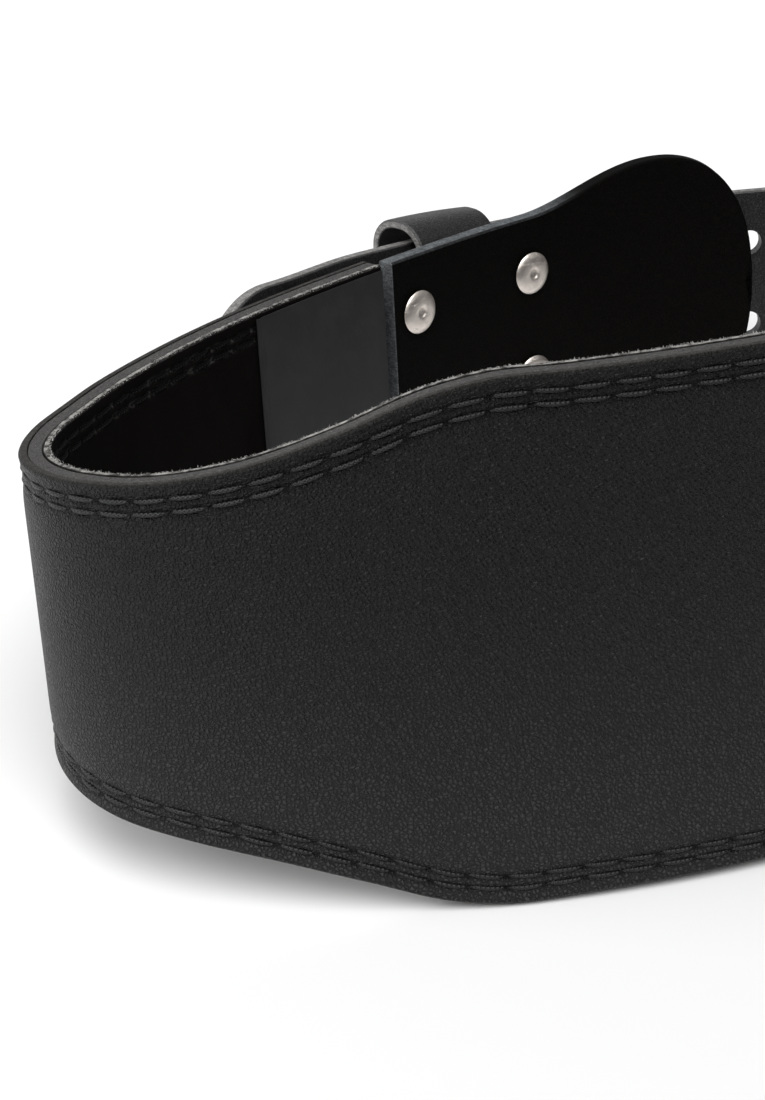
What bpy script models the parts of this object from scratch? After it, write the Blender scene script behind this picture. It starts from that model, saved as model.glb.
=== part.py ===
"""Padded leather weightlifting belt, fastened with its two-prong roller buckle.

The belt stands on its lower edge as it rests by itself: on the two lower corners of the wide back and on
the flap behind the buckle. It is built level, round a closed plan of arcs, and then leant over to its rest.

Stations run along the outer face of the padded body. Station 0 is the middle of the back, and stations grow
towards the end that carries the buckle. A face's distance is measured outwards from that outer face, and
heights are measured from the middle of the body's width.
"""
import bmesh
import bpy
import numpy as np
from math import cos, pi, radians, sin
from mathutils import Matrix, Vector

# Driving sizes, in metres
LOOP_LENGTH = 0.7685
LUMBAR_WIDTH = 0.100
LUMBAR_LENGTH = 0.183
TAPER_LENGTH = 0.130
STRAP_WIDTH = 0.055
OUTER_THICK = 0.0017
CORE_THICK = 0.0023
LINING_THICK = 0.0015
EDGE_CHAMFER = 0.0005
LABEL_LENGTH = 0.041
LABEL_THICK = 0.0005
FLAP_THICK = 0.0042
FLAP_WIDTH = 0.0525
FLAP_FLARE = 0.0071
FLAP_GAP = 0.005
END_GAP = 0.008
CHAPE_THICK = 0.0020
CHAPE_WIDTH = 0.040
CHAPE_LAP = 0.0245
KEEPER_THICK = 0.0020
KEEPER_LENGTH = 0.024
KEEPER_PLAY = 0.0035
KEEPER_DEPTH = 0.0167
KEEPER_CORNER = 0.0075
KEEPER_DROP = 0.0026
BILLET_THICK = 0.0030
BILLET_WIDTH = 0.047
BILLET_LAP = 0.045
BILLET_TIP = 0.026
BILLET_PAST_CHAPE = 0.027
BILLET_RISE = 0.0069
BILLET_RAMP = 0.015
HOLE_WIDTH = 0.0066
HOLE_PITCH = 0.032
HOLE_ROWS = 0.021
RIVET_MARGIN = 0.008
RIVET_PITCH = 0.037
RIVET_ROWS = 0.0256
RIVET_HEAD = 0.0100
RIVET_HEAD_HEIGHT = 0.0010
RIVET_SHANK = 0.0048
BAR_PAST_RIVETS = 0.0245
BUCKLE_REACH = 0.028
FLAP_PAST_BUCKLE = 0.012
BUCKLE_WIRE = 0.0040
BUCKLE_PLAY = 0.0020
BUCKLE_CORNER = 0.0065
ROLLER_WIDTH = 0.0070
ROLLER_END_GAP = 0.0035
PRONG_WIRE = 0.0026
PRONG_PAST_ROLLER = 0.004
SLOT_PLAY = 0.0006
FIT_GAP = 0.0003
PLY_GAP = 0.00025

# Where the plan starts as a share of the loop, how round the flap's end is, angles in degrees, and facets
BACK_SHARE = 0.15204
ROUND_END_POWER = 2.4
PLAN_TURN = -29.0
EYE_ANGLE = 250.0
STEP = 0.0065
KEEPER_SIDES = 28
PEG_SIDES = 14

# The closed plan, from just past the left taper's corner and on round the buckle: each arc's length as a
# share of the loop, and its turn in degrees. The two arcs with no length take what closes the loop.
PLAN = (
    ("taper", 0.0328, 12.05),
    ("bend_a_in", 0.0221, 15.90),
    ("bend_a", 0.0538, 61.55),
    ("bend_a_out", 0.0286, 19.97),
    ("shoulder_a", 0.0337, 11.00),
    ("side_a", 0.0780, 13.49),
    ("front", 0.0782, 5.35),
    ("buckle", 0.0586, 10.65),
    ("bend_front", 0.0520, 25.61),
    ("side_b", None, 12.00),
    ("bend_b_in", 0.0390, 20.00),
    ("bend_b", 0.0716, 67.23),
    ("bend_b_out", 0.0390, 22.00),
    ("hip_b", 0.0520, 16.00),
    ("back_b", None, 33.26),
    ("back_a", 0.0911, 13.94),
)

# How the width falls from the back to the strap: share of the taper, share of the fall still to come
TAPER = (
    (-0.10, 1.000),
    (0.00, 1.000),
    (0.08, 0.921),
    (0.20, 0.669),
    (0.32, 0.449),
    (0.45, 0.298),
    (0.57, 0.223),
    (0.70, 0.144),
    (0.88, 0.046),
    (1.00, 0.000),
    (1.10, 0.000),
)

# Each look's name, colour, roughness and metal
LOOKS = (
    ("outer_leather", (0.018, 0.018, 0.019), 0.52, 0.0),
    ("core_ply", (0.160, 0.155, 0.150), 0.85, 0.0),
    ("suede_lining", (0.010, 0.010, 0.011), 0.95, 0.0),
    ("inner_label", (0.045, 0.045, 0.048), 0.55, 0.0),
    ("strap_leather", (0.016, 0.016, 0.017), 0.50, 0.0),
    ("nickel_steel", (0.600, 0.580, 0.550), 0.28, 1.0),
    ("rivet_nickel", (0.620, 0.580, 0.540), 0.32, 1.0),
)

# Stations and distances that follow from the sizes above
FLAP_LENGTH = RIVET_MARGIN + RIVET_PITCH + BAR_PAST_RIVETS + BUCKLE_REACH + FLAP_PAST_BUCKLE
BODY_LENGTH = LOOP_LENGTH - FLAP_LENGTH - FLAP_GAP - END_GAP
BODY_THICK = OUTER_THICK + CORE_THICK + LINING_THICK + 2 * PLY_GAP
END_A = BODY_LENGTH / 2
END_B = LOOP_LENGTH - BODY_LENGTH / 2
FLAP_START = END_A + FLAP_GAP
FLAP_END = FLAP_START + FLAP_LENGTH
RIVETS_FIRST = FLAP_START + RIVET_MARGIN
RIVETS_SECOND = RIVETS_FIRST + RIVET_PITCH
BAR_STATION = RIVETS_SECOND + BAR_PAST_RIVETS
ROLLER_STATION = BAR_STATION + BUCKLE_REACH
KEEPER_MIDDLE = (RIVETS_FIRST + RIVETS_SECOND) / 2 + FIT_GAP
CHAPE_END = END_A - CHAPE_LAP
BILLET_END = CHAPE_END - BILLET_PAST_CHAPE
BILLET_ROOT = END_B + BILLET_LAP

KEEPER_HEIGHT = BILLET_WIDTH + 2 * (KEEPER_PLAY + KEEPER_THICK)
BUCKLE_INSIDE = BILLET_WIDTH + 2 * BUCKLE_PLAY
ROLLER_DISTANCE = 2 * FIT_GAP + BILLET_THICK + ROLLER_WIDTH / 2
CHAPE_RAISED = 2 * FIT_GAP + max(CHAPE_THICK, KEEPER_THICK)
FOLD_RADIUS = BUCKLE_WIRE / 2 + FIT_GAP + CHAPE_THICK / 2
EYE_RADIUS = BUCKLE_WIRE / 2 + FIT_GAP + PRONG_WIRE / 2
BAR_DISTANCE = max(FIT_GAP + CHAPE_THICK / 2 + FOLD_RADIUS, FIT_GAP + PRONG_WIRE / 2 + EYE_RADIUS)
BILLET_OVER_CHAPE = 2 * FIT_GAP + CHAPE_THICK
BILLET_OVER_RIVETS = CHAPE_RAISED + CHAPE_THICK + RIVET_HEAD_HEIGHT + 2 * FIT_GAP
BILLET_OVER_BAR = BAR_DISTANCE + EYE_RADIUS + PRONG_WIRE / 2 + 3 * FIT_GAP


def smoothstep(value):
    """Rises smoothly from 0 to 1 as the value goes from 0 to 1."""
    t = np.clip(value, 0, 1)
    return t * t * (3 - 2 * t)


def read_table(table, value):
    """Reads a two-column table along a smooth curve through its rows."""
    at, height = np.array(table, float).T
    slope = np.gradient(height, at)
    row = np.clip(np.searchsorted(at, value) - 1, 0, len(at) - 2)
    span = at[row + 1] - at[row]
    t = np.clip((value - at[row]) / span, 0, 1)
    start = height[row] * (1 + 2 * t) * (1 - t) ** 2 + slope[row] * span * t * (1 - t) ** 2
    end = height[row + 1] * t * t * (3 - 2 * t) - slope[row + 1] * span * t * t * (1 - t)
    return start + end


def ramps(rows, station):
    """Distance at each station, held at each row and eased between rows."""
    at, distance = np.array(sorted(rows), float).T
    row = np.clip(np.searchsorted(at, station) - 1, 0, len(at) - 2)
    t = smoothstep((station - at[row]) / (at[row + 1] - at[row]))
    return distance[row] + (distance[row + 1] - distance[row]) * t


def closed_plan():
    """Heading, length and turn of each arc, with the two open lengths solved so that the loop closes."""
    heading = 0.0
    fixed = np.zeros(2)
    open_runs = []
    arcs = []
    for name, share, degrees in PLAN:
        turn = radians(degrees)
        run = np.array([sin(heading) - sin(heading + turn), cos(heading) - cos(heading + turn)]) / turn
        arcs.append([heading, share, turn])
        if share is None:
            open_runs.append(run)
        else:
            fixed += run * share
        heading += turn
    missing = iter(np.linalg.solve(np.array(open_runs).T, -fixed))
    lengths = [LOOP_LENGTH * (next(missing) if share is None else share) for _, share, _ in arcs]
    scale = LOOP_LENGTH / sum(lengths)
    return [(heading, length * scale, turn) for (heading, _, turn), length in zip(arcs, lengths)]


ARCS = closed_plan()


def wall(station, distance=0.0):
    """Plan point at a station and distance, and the outward direction there."""
    along = (station - BACK_SHARE * LOOP_LENGTH) % LOOP_LENGTH
    point = np.zeros(2)
    for heading, length, turn in ARCS:
        part = min(along, length)
        radius = length / turn
        end = heading + part / radius
        point = point + radius * np.array([sin(heading) - sin(end), cos(heading) - cos(end)])
        along -= part
        if along <= 0:
            break
    outward = -np.array([sin(end), cos(end)])
    return point + outward * distance, outward


def stations(start, end):
    """Stations from start to end on the shared grid, so that plies lie parallel to each other."""
    grid = np.arange(np.ceil(start / STEP), np.floor(end / STEP) + 1) * STEP
    kept = grid[(grid > start + 0.3 * STEP) & (grid < end - 0.3 * STEP)]
    return np.array(sorted({start, end, *kept.tolist()}))


def body_half_height(station):
    """Half the body's width at a station."""
    around = (station + LOOP_LENGTH / 2) % LOOP_LENGTH - LOOP_LENGTH / 2
    share = (abs(around) - LUMBAR_LENGTH / 2) / TAPER_LENGTH
    return (STRAP_WIDTH + (LUMBAR_WIDTH - STRAP_WIDTH) * read_table(TAPER, share)) / 2


def flap_half_height(station):
    """Half the flap's width: plain, then flared behind the buckle, then rounded off."""
    peak = (BAR_STATION + ROLLER_STATION) / 2
    flare = smoothstep((station - RIVETS_SECOND) / (peak - RIVETS_SECOND))
    end_share = np.clip((station - peak) / (FLAP_END - peak), 0, 1)
    rounded = (1 - end_share ** ROUND_END_POWER) ** (1 / ROUND_END_POWER)
    return (FLAP_WIDTH / 2 + FLAP_FLARE * flare) * rounded


def billet_half_height(station):
    """Half the billet's width, rounded off towards its tip."""
    share = np.clip((BILLET_END + BILLET_TIP - station) / BILLET_TIP, 0, 1)
    return BILLET_WIDTH / 2 * (1 - share ** 2) ** 0.5


def billet_middle(station):
    """Height of the billet's middle: level from its root to the bar, then climbing to its tip."""
    before = KEEPER_MIDDLE + KEEPER_LENGTH / 2 - min(station, BAR_STATION)
    return BILLET_RISE * before / (BAR_STATION - CHAPE_END)


def rounded_end(start, end, rows=9):
    """Stations that crowd towards a rounded end."""
    angle = np.linspace(0, radians(83), rows)
    return start + (end - start) * np.sin(angle)


def material(name, color, roughness, metallic):
    """Principled material of one piece."""
    made = bpy.data.materials.new(name)
    made.use_nodes = True
    shader = made.node_tree.nodes["Principled BSDF"]
    shader.inputs["Base Color"].default_value = (*color, 1.0)
    shader.inputs["Roughness"].default_value = roughness
    shader.inputs["Metallic"].default_value = metallic
    return made


def add_object(name, data, look, parent, place=Matrix.Identity(4)):
    """Object of a mesh or a curve, placed on the belt's empty."""
    data.materials.append(look)
    made = bpy.data.objects.new(name, data)
    bpy.context.scene.collection.objects.link(made)
    made.parent = parent
    made.matrix_local = place
    return made


def finished_mesh(name, grid):
    """Mesh of a bmesh with its faces turned outwards, smooth except at real edges."""
    bmesh.ops.recalc_face_normals(grid, faces=grid.faces)
    mesh = bpy.data.meshes.new(name)
    grid.to_mesh(mesh)
    grid.free()
    mesh.shade_smooth()
    mesh.set_sharp_from_angle(angle=radians(32))
    return mesh


def loft(name, rings):
    """Solid through rings of corners, with a flat cap on each end."""
    grid = bmesh.new()
    rows = [[grid.verts.new(Vector(corner)) for corner in ring] for ring in rings]
    count = len(rows[0])
    for first, second in zip(rows, rows[1:]):
        for i in range(count):
            j = (i + 1) % count
            grid.faces.new((first[i], first[j], second[j], second[i]))
    grid.faces.new(rows[0])
    grid.faces.new(rows[-1])
    return finished_mesh(name, grid)


def section(inner, outer, low, high, chamfer):
    """Corners of an upright wall's section, with the outer face's two edges chamfered."""
    shy = outer + (inner - outer) * (chamfer / np.linalg.norm(inner - outer))
    return [
        (*inner, low),
        (*shy, low),
        (*outer, low + chamfer),
        (*outer, high - chamfer),
        (*shy, high),
        (*inner, high),
    ]


def wall_piece(name, run, near, thick, half_height, look, parent):
    """Piece whose two faces follow the plan, from one distance outwards by its thickness."""
    rings = []
    for station in run:
        inner, _ = wall(station, near)
        outer, _ = wall(station, near + thick)
        half = float(half_height(station))
        rings.append(section(inner, outer, -half, half, min(EDGE_CHAMFER, thick / 2)))
    return add_object(name, loft(name, rings), look, parent)


def left_normals(line):
    """Unit normals on the left of a plan line."""
    tangent = np.gradient(line, axis=0)
    tangent /= np.linalg.norm(tangent, axis=1)[:, None]
    return np.stack([-tangent[:, 1], tangent[:, 0]], axis=1)


def ribbon(name, line, thick, low, high, look, parent):
    """Upright strap of even thickness along the middle line that it follows in plan."""
    side = left_normals(line) * thick / 2
    rings = [
        section(point - step, point + step, bottom, top, EDGE_CHAMFER)
        for point, step, bottom, top in zip(line, side, low, high)
    ]
    return add_object(name, loft(name, rings), look, parent)


def facing(point, height, along):
    """Placement at a plan point with local X along a plan direction and local Z outwards."""
    along = Vector((along[0], along[1], 0)).normalized()
    outward = Vector((-along.y, along.x, 0))
    frame = Matrix((along, outward.cross(along), outward)).transposed()
    return Matrix.Translation((point[0], point[1], height)) @ frame.to_4x4()


def facing_station(station, distance, height):
    """Placement on the wall at a station."""
    point, outward = wall(station, distance)
    return facing(point, height, (outward[1], -outward[0]))


def cutting_tool(name, pegs, parent):
    """Hidden tool of round pegs, as (placement, width, depth), and square ones, as (placement, sizes)."""
    grid = bmesh.new()
    for peg in pegs:
        if len(peg) == 3:
            place, width, depth = peg
            round_shape = {"segments": PEG_SIDES, "radius1": width / 2, "radius2": width / 2, "depth": depth}
            bmesh.ops.create_cone(grid, cap_ends=True, matrix=place, **round_shape)
        else:
            place, sizes = peg
            bmesh.ops.create_cube(grid, size=1.0, matrix=place @ Matrix.Diagonal((*sizes, 1)))
    mesh = bpy.data.meshes.new(name)
    grid.to_mesh(mesh)
    grid.free()
    tool = bpy.data.objects.new(name, mesh)
    bpy.context.scene.collection.objects.link(tool)
    tool.parent = parent
    tool.hide_render = True
    tool.display_type = "WIRE"
    return tool


def cut(target, tool):
    """Takes the tool's shape out of a piece."""
    modifier = target.modifiers.new(tool.name, "BOOLEAN")
    modifier.operation = "DIFFERENCE"
    modifier.object = tool


def wire(name, points, thick, closed, look, parent, place):
    """Round wire along a line of points."""
    curve = bpy.data.curves.new(name, "CURVE")
    curve.dimensions = "3D"
    curve.bevel_depth = thick / 2
    curve.bevel_resolution = 3
    curve.use_fill_caps = not closed
    spline = curve.splines.new("POLY")
    spline.points.add(len(points) - 1)
    for target, point in zip(spline.points, points):
        target.co = (*point, 1)
    spline.use_cyclic_u = closed
    spline.use_smooth = True
    return add_object(name, curve, look, parent, place)


def lathe_mesh(name, profile, sides):
    """Turned mesh about Z, from (radius, height) corners; a profile off the axis is closed into a ring."""
    grid = bmesh.new()
    corners = [grid.verts.new((radius, 0, height)) for radius, height in profile]
    edges = [grid.edges.new(pair) for pair in zip(corners, corners[1:])]
    if profile[0][0] > 0:
        edges.append(grid.edges.new((corners[-1], corners[0])))
    bmesh.ops.spin(grid, geom=corners + edges, axis=(0, 0, 1), cent=(0, 0, 0), angle=2 * pi, steps=sides)
    bmesh.ops.remove_doubles(grid, verts=grid.verts, dist=1e-6)
    return finished_mesh(name, grid)


def rivet_mesh(grip):
    """Rivet from the underside of its inner head at 0 to the underside of its outer head at the grip."""
    radius = RIVET_HEAD / 2
    rise = RIVET_HEAD_HEIGHT
    shank = RIVET_SHANK / 2
    profile = [
        (0, -0.55 * rise),
        (0.16 * radius, -0.7 * rise),
        (0.26 * radius, -rise),
        (0.60 * radius, -0.95 * rise),
        (0.88 * radius, -0.6 * rise),
        (radius, -0.15 * rise),
        (0.96 * radius, 0),
        (shank, 0),
        (shank, grip),
        (0.96 * radius, grip),
        (radius, grip + 0.15 * rise),
        (0.88 * radius, grip + 0.6 * rise),
        (0.60 * radius, grip + 0.95 * rise),
        (0, grip + rise),
    ]
    return lathe_mesh("rivet", profile, 12)


def rivets(prefix, columns, middle, near, grip, look, parent):
    """Two rows of rivets at each column; returns pegs for their holes."""
    pegs = []
    for column, station in enumerate(columns):
        for row, side in (("lower", -1), ("upper", 1)):
            height = middle + side * RIVET_ROWS / 2
            place = facing_station(station, near, height)
            add_object(f"{prefix}_{row}_{column + 1}", rivet_mesh(grip), look, parent, place)
            hole = place @ Matrix.Translation((0, 0, grip / 2))
            pegs.append((hole, RIVET_SHANK + 2 * FIT_GAP, grip + 2 * BODY_THICK))
    return pegs


def body(looks, parent):
    """Three plies of the padded body, and the label on the lining."""
    run = stations(END_B - LOOP_LENGTH, END_A)
    core_near = -OUTER_THICK - PLY_GAP - CORE_THICK
    plies = []
    for name, near, thick in (
        ("outer_leather", -OUTER_THICK, OUTER_THICK),
        ("core_ply", core_near, CORE_THICK),
        ("suede_lining", -BODY_THICK, LINING_THICK),
    ):
        plies.append(wall_piece(name, run, near, thick, body_half_height, looks[name], parent))
    label_run = stations(END_A - LABEL_LENGTH, END_A - FIT_GAP)
    label_near = -BODY_THICK - FIT_GAP - LABEL_THICK
    look = looks["inner_label"]
    wall_piece("inner_label", label_run, label_near, LABEL_THICK, label_half_height, look, parent)
    return plies


def label_half_height(station):
    """The label reaches almost to the strap's edges."""
    return body_half_height(station) - 2 * EDGE_CHAMFER


def chape_line():
    """Middle line of the chape: from the body round the buckle's bar and back under itself."""
    rows = (
        (CHAPE_END, FIT_GAP),
        (END_A - 7 * EDGE_CHAMFER, FIT_GAP),
        (RIVETS_FIRST - 0.65 * RIVET_HEAD, CHAPE_RAISED),
        (RIVETS_SECOND + 0.75 * RIVET_HEAD, CHAPE_RAISED),
        (BAR_STATION, BAR_DISTANCE + FOLD_RADIUS - CHAPE_THICK / 2),
    )
    outer = [wall(s, ramps(rows, s) + CHAPE_THICK / 2)[0] for s in stations(CHAPE_END, BAR_STATION)]
    bar, outward = wall(BAR_STATION, BAR_DISTANCE)
    along = np.array([outward[1], -outward[0]])
    fold = [bar + FOLD_RADIUS * (cos(a) * outward + sin(a) * along) for a in np.linspace(0, pi, 11)[1:-1]]
    back = stations(RIVETS_SECOND - 0.52 * RIVET_HEAD, BAR_STATION)[::-1]
    rows = ((rows[3][0], FIT_GAP), (BAR_STATION, BAR_DISTANCE - FOLD_RADIUS - CHAPE_THICK / 2))
    inner = [wall(s, ramps(rows, s) + CHAPE_THICK / 2)[0] for s in back]
    return np.array(outer + fold + inner)


def keeper(look, parent):
    """Closed leather loop round the chape and the billet, dropping a little towards the buckle."""
    turns = (np.arange(KEEPER_SIDES) + 0.5) * 2 * pi / KEEPER_SIDES
    turned = np.stack([np.cos(turns), np.sin(turns)], axis=1)
    middle = np.array([FIT_GAP + KEEPER_DEPTH / 2, 0])
    half = np.array([KEEPER_DEPTH, KEEPER_HEIGHT]) / 2
    outline = [
        middle + (half - KEEPER_CORNER) * np.sign(turned) + (KEEPER_CORNER - inset) * turned
        for inset in (0, KEEPER_THICK)
    ]
    grid = bmesh.new()
    rows = []
    for station in stations(KEEPER_MIDDLE - KEEPER_LENGTH / 2, KEEPER_MIDDLE + KEEPER_LENGTH / 2):
        rings = []
        drop = KEEPER_DROP * (station - KEEPER_MIDDLE) / KEEPER_LENGTH
        for ring in outline:
            corners = [(*wall(station, distance)[0], height - drop) for distance, height in ring]
            rings.append([grid.verts.new(corner) for corner in corners])
        rows.append(rings)
    count = len(turns)
    for i in range(count):
        j = (i + 1) % count
        for first, second in zip(rows, rows[1:]):
            for ring in (0, 1):
                grid.faces.new((first[ring][i], first[ring][j], second[ring][j], second[ring][i]))
        for end in (rows[0], rows[-1]):
            grid.faces.new((end[0][i], end[0][j], end[1][j], end[1][i]))
    return add_object("keeper_loop", finished_mesh("keeper_loop", grid), look, parent)


def billet_line():
    """Stations and middle line of the billet, over the rivets and the bar and down under the roller."""
    over_bar = BAR_STATION + 0.006
    rows = (
        (BILLET_END, FIT_GAP),
        (CHAPE_END - 4 * FIT_GAP, BILLET_OVER_CHAPE),
        (RIVETS_FIRST - 0.65 * RIVET_HEAD, BILLET_OVER_RIVETS),
        (RIVETS_SECOND + 0.75 * RIVET_HEAD, BILLET_OVER_RIVETS),
        (BAR_STATION - 0.004, BILLET_OVER_BAR),
        (over_bar, BILLET_OVER_BAR),
        (over_bar + BILLET_RAMP, FIT_GAP),
        (BILLET_ROOT, FIT_GAP),
    )
    tip = rounded_end(BILLET_END + BILLET_TIP, BILLET_END)
    ramp = np.linspace(over_bar - 0.012, over_bar + BILLET_RAMP, 16)
    rest = stations(BILLET_END + BILLET_TIP, BILLET_ROOT)
    rest = rest[(rest < ramp[0] - 0.3 * STEP) | (rest > ramp[-1] + 0.3 * STEP)]
    run = np.array(sorted({*tip.tolist(), *ramp.tolist(), *rest.tolist()}))
    line = np.array([wall(s, ramps(rows, s) + BILLET_THICK / 2)[0] for s in run])
    return run, line


def billet(line, run, tongue, looks, parent):
    """Billet strap with its two rows of holes, one column of which the prongs go through."""
    low = [float(billet_middle(s) - billet_half_height(s)) for s in run]
    high = [float(billet_middle(s) + billet_half_height(s)) for s in run]
    piece = ribbon("billet_strap", line, BILLET_THICK, low, high, looks["strap_leather"], parent)
    length = np.concatenate([[0], np.cumsum(np.linalg.norm(np.diff(line, axis=0), axis=1))])
    first, last = np.interp((BILLET_END + 1.4 * BILLET_TIP, END_B - HOLE_WIDTH / 2), run, length)
    before = (tongue - first) // HOLE_PITCH
    after = (last - tongue) // HOLE_PITCH
    pegs = []
    for column in tongue + HOLE_PITCH * np.arange(-before, after + 1):
        point = np.array([np.interp(column, length, line[:, i]) for i in (0, 1)])
        ahead = np.array([np.interp(column + BILLET_THICK / 2, length, line[:, i]) for i in (0, 1)])
        station = float(np.interp(column, length, run))
        for side in (-1, 1):
            place = facing(point, billet_middle(station) + side * HOLE_ROWS / 2, ahead - point)
            pegs.append((place, HOLE_WIDTH, 3 * BILLET_THICK))
    cut(piece, cutting_tool("billet_holes", pegs, parent))
    return piece


def crossing(line, start, end):
    """Length along a line at which the straight run from start to end crosses it."""
    along = end - start
    side = (line - start) @ np.array([-along[1], along[0]])
    at = int(np.nonzero((side[:-1] > 0) != (side[1:] > 0))[0][-1])
    length = np.concatenate([[0], np.cumsum(np.linalg.norm(np.diff(line, axis=0), axis=1))])
    share = side[at] / (side[at] - side[at + 1])
    return float(length[at] + share * (length[at + 1] - length[at]))


def buckle_frame_points(reach):
    """Rounded rectangle of the frame's wire: the bar at X 0, the roller's side at X reach."""
    half = (BUCKLE_INSIDE + BUCKLE_WIRE) / 2
    centres = (
        (reach - BUCKLE_CORNER, half - BUCKLE_CORNER, 0),
        (BUCKLE_CORNER, half - BUCKLE_CORNER, pi / 2),
        (BUCKLE_CORNER, BUCKLE_CORNER - half, pi),
        (reach - BUCKLE_CORNER, BUCKLE_CORNER - half, 3 * pi / 2),
    )
    return [
        (x + BUCKLE_CORNER * cos(start + a), y + BUCKLE_CORNER * sin(start + a), 0)
        for x, y, start in centres
        for a in np.linspace(0, pi / 2, 5)
    ]


def prong_points(reach):
    """Line of a prong: an open eye round the bar, then straight to its rest on the roller."""
    rest = np.array([reach, ROLLER_WIDTH / 2 + FIT_GAP + PRONG_WIRE / 2])
    distance = np.linalg.norm(rest)
    leave = np.arctan2(rest[1], rest[0]) + np.arccos(EYE_RADIUS / distance)
    angles = np.linspace(leave + radians(EYE_ANGLE), leave, 13)
    eye = [(EYE_RADIUS * cos(a), 0, EYE_RADIUS * sin(a)) for a in angles]
    start = np.array([eye[-1][0], eye[-1][2]])
    along = (rest - start) / np.linalg.norm(rest - start)
    tip = rest + along * PRONG_PAST_ROLLER
    runs = [start + (tip - start) * share for share in (0.25, 0.5, 0.75, 1.0)]
    return eye + [(x, 0, z) for x, z in runs], start, rest


def buckle(looks, parent):
    """Frame and roller, level with the billet's middle, and the bar's placement, which the prongs share."""
    bar, _ = wall(BAR_STATION, BAR_DISTANCE)
    roller, _ = wall(ROLLER_STATION, ROLLER_DISTANCE)
    reach = float(np.linalg.norm(roller - bar))
    place = facing(bar, 0, roller - bar)
    seat = Matrix.Translation((0, 0, billet_middle(BAR_STATION))) @ place
    look = looks["nickel_steel"]
    wire("buckle_frame", buckle_frame_points(reach), BUCKLE_WIRE, True, look, parent, seat)
    half = BUCKLE_INSIDE / 2 - ROLLER_END_GAP
    inside = BUCKLE_WIRE / 2 + FIT_GAP
    profile = [(inside, -half), (ROLLER_WIDTH / 2, -half), (ROLLER_WIDTH / 2, half), (inside, half)]
    upright = seat @ Matrix.Translation((reach, 0, 0)) @ Matrix.Rotation(pi / 2, 4, "X")
    add_object("buckle_roller", lathe_mesh("buckle_roller", profile, 16), look, parent, upright)
    return place, reach


def rest_turn():
    """Rotation that lays the belt's three resting points level: two corners of the back and the flap."""
    ends = (LUMBAR_LENGTH / 2, -LUMBAR_LENGTH / 2)
    corners = [(*wall(station, -BODY_THICK / 2)[0], -LUMBAR_WIDTH / 2) for station in ends]
    peak = (BAR_STATION + ROLLER_STATION) / 2
    flap = (*wall(peak, -FLAP_THICK / 2)[0], -float(flap_half_height(peak)))
    first, second, third = (Vector(point) for point in (*corners, flap))
    normal = (second - first).cross(third - first).normalized()
    if normal.z < 0:
        normal.negate()
    return normal.rotation_difference(Vector((0, 0, 1)))


def stand(parent):
    """Leans the belt to its rest and brings the middle of its box's base to the origin."""
    level = Matrix.Rotation(radians(PLAN_TURN), 4, "Z")
    parent.matrix_world = level @ rest_turn().to_matrix().to_4x4()
    bpy.context.view_layer.update()
    seen = bpy.context.evaluated_depsgraph_get()
    corners = []
    for piece in parent.children:
        if piece.hide_render:
            continue
        shape = piece.evaluated_get(seen)
        corners += [piece.matrix_world @ vertex.co for vertex in shape.to_mesh().vertices]
        shape.to_mesh_clear()
    corners = np.array(corners)
    low, high = corners.min(axis=0), corners.max(axis=0)
    parent.location -= Vector(((low[0] + high[0]) / 2, (low[1] + high[1]) / 2, low[2]))
    bpy.context.view_layer.update()


def build():
    """Builds the belt."""
    for old in list(bpy.data.objects):
        bpy.data.objects.remove(old)
    parent = bpy.data.objects.new("belt", None)
    bpy.context.scene.collection.objects.link(parent)
    looks = {name: material(name, *values) for name, *values in LOOKS}
    plies = body(looks, parent)

    peak = (BAR_STATION + ROLLER_STATION) / 2
    flap_run = sorted({*stations(FLAP_START, peak).tolist(), *rounded_end(peak, FLAP_END).tolist()})
    look = looks["strap_leather"]
    flap = wall_piece("buckle_flap", flap_run, -FLAP_THICK, FLAP_THICK, flap_half_height, look, parent)

    line = chape_line()
    half = np.full(len(line), CHAPE_WIDTH / 2)
    chape = ribbon("buckle_chape", line, CHAPE_THICK, -half, half, look, parent)

    keeper(look, parent)
    place, reach = buckle(looks, parent)
    points, start, rest = prong_points(reach)
    plan = [np.array((place @ Vector((x, 0, z))).xy) for x, z in (start, rest)]
    run, strap_line = billet_line()
    strap = billet(strap_line, run, crossing(strap_line, *plan), looks, parent)

    slots = []
    middle = billet_middle(BAR_STATION + BUCKLE_REACH / 3)
    for name, side in (("prong_lower", -1), ("prong_upper", 1)):
        own = Matrix.Translation((0, 0, middle + side * HOLE_ROWS / 2)) @ place
        wire(name, points, PRONG_WIRE, False, looks["nickel_steel"], parent, own)
        width = PRONG_WIRE + 2 * SLOT_PLAY
        across = 2 * (EYE_RADIUS + PRONG_WIRE / 2 + SLOT_PLAY)
        slots.append((own, (across, width, 2 * across)))
    cut(chape, cutting_tool("prong_slots", slots, parent))

    columns = (RIVETS_FIRST, RIVETS_SECOND)
    grip = FLAP_THICK + CHAPE_RAISED + CHAPE_THICK + 2 * FIT_GAP
    look = looks["rivet_nickel"]
    pegs = rivets("rivet_flap", columns, 0, -FLAP_THICK - FIT_GAP, grip, look, parent)
    holes = cutting_tool("chape_rivet_holes", pegs, parent)
    cut(flap, holes)
    cut(chape, holes)

    columns = (END_B + 0.3 * BILLET_LAP, END_B + 0.75 * BILLET_LAP)
    grip = BODY_THICK + BILLET_THICK + 3 * FIT_GAP
    pegs = rivets("rivet_billet", columns, billet_middle(END_B), -BODY_THICK - FIT_GAP, grip, look, parent)
    holes = cutting_tool("billet_rivet_holes", pegs, parent)
    for piece in (*plies, strap):
        cut(piece, holes)

    stand(parent)


build()
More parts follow.
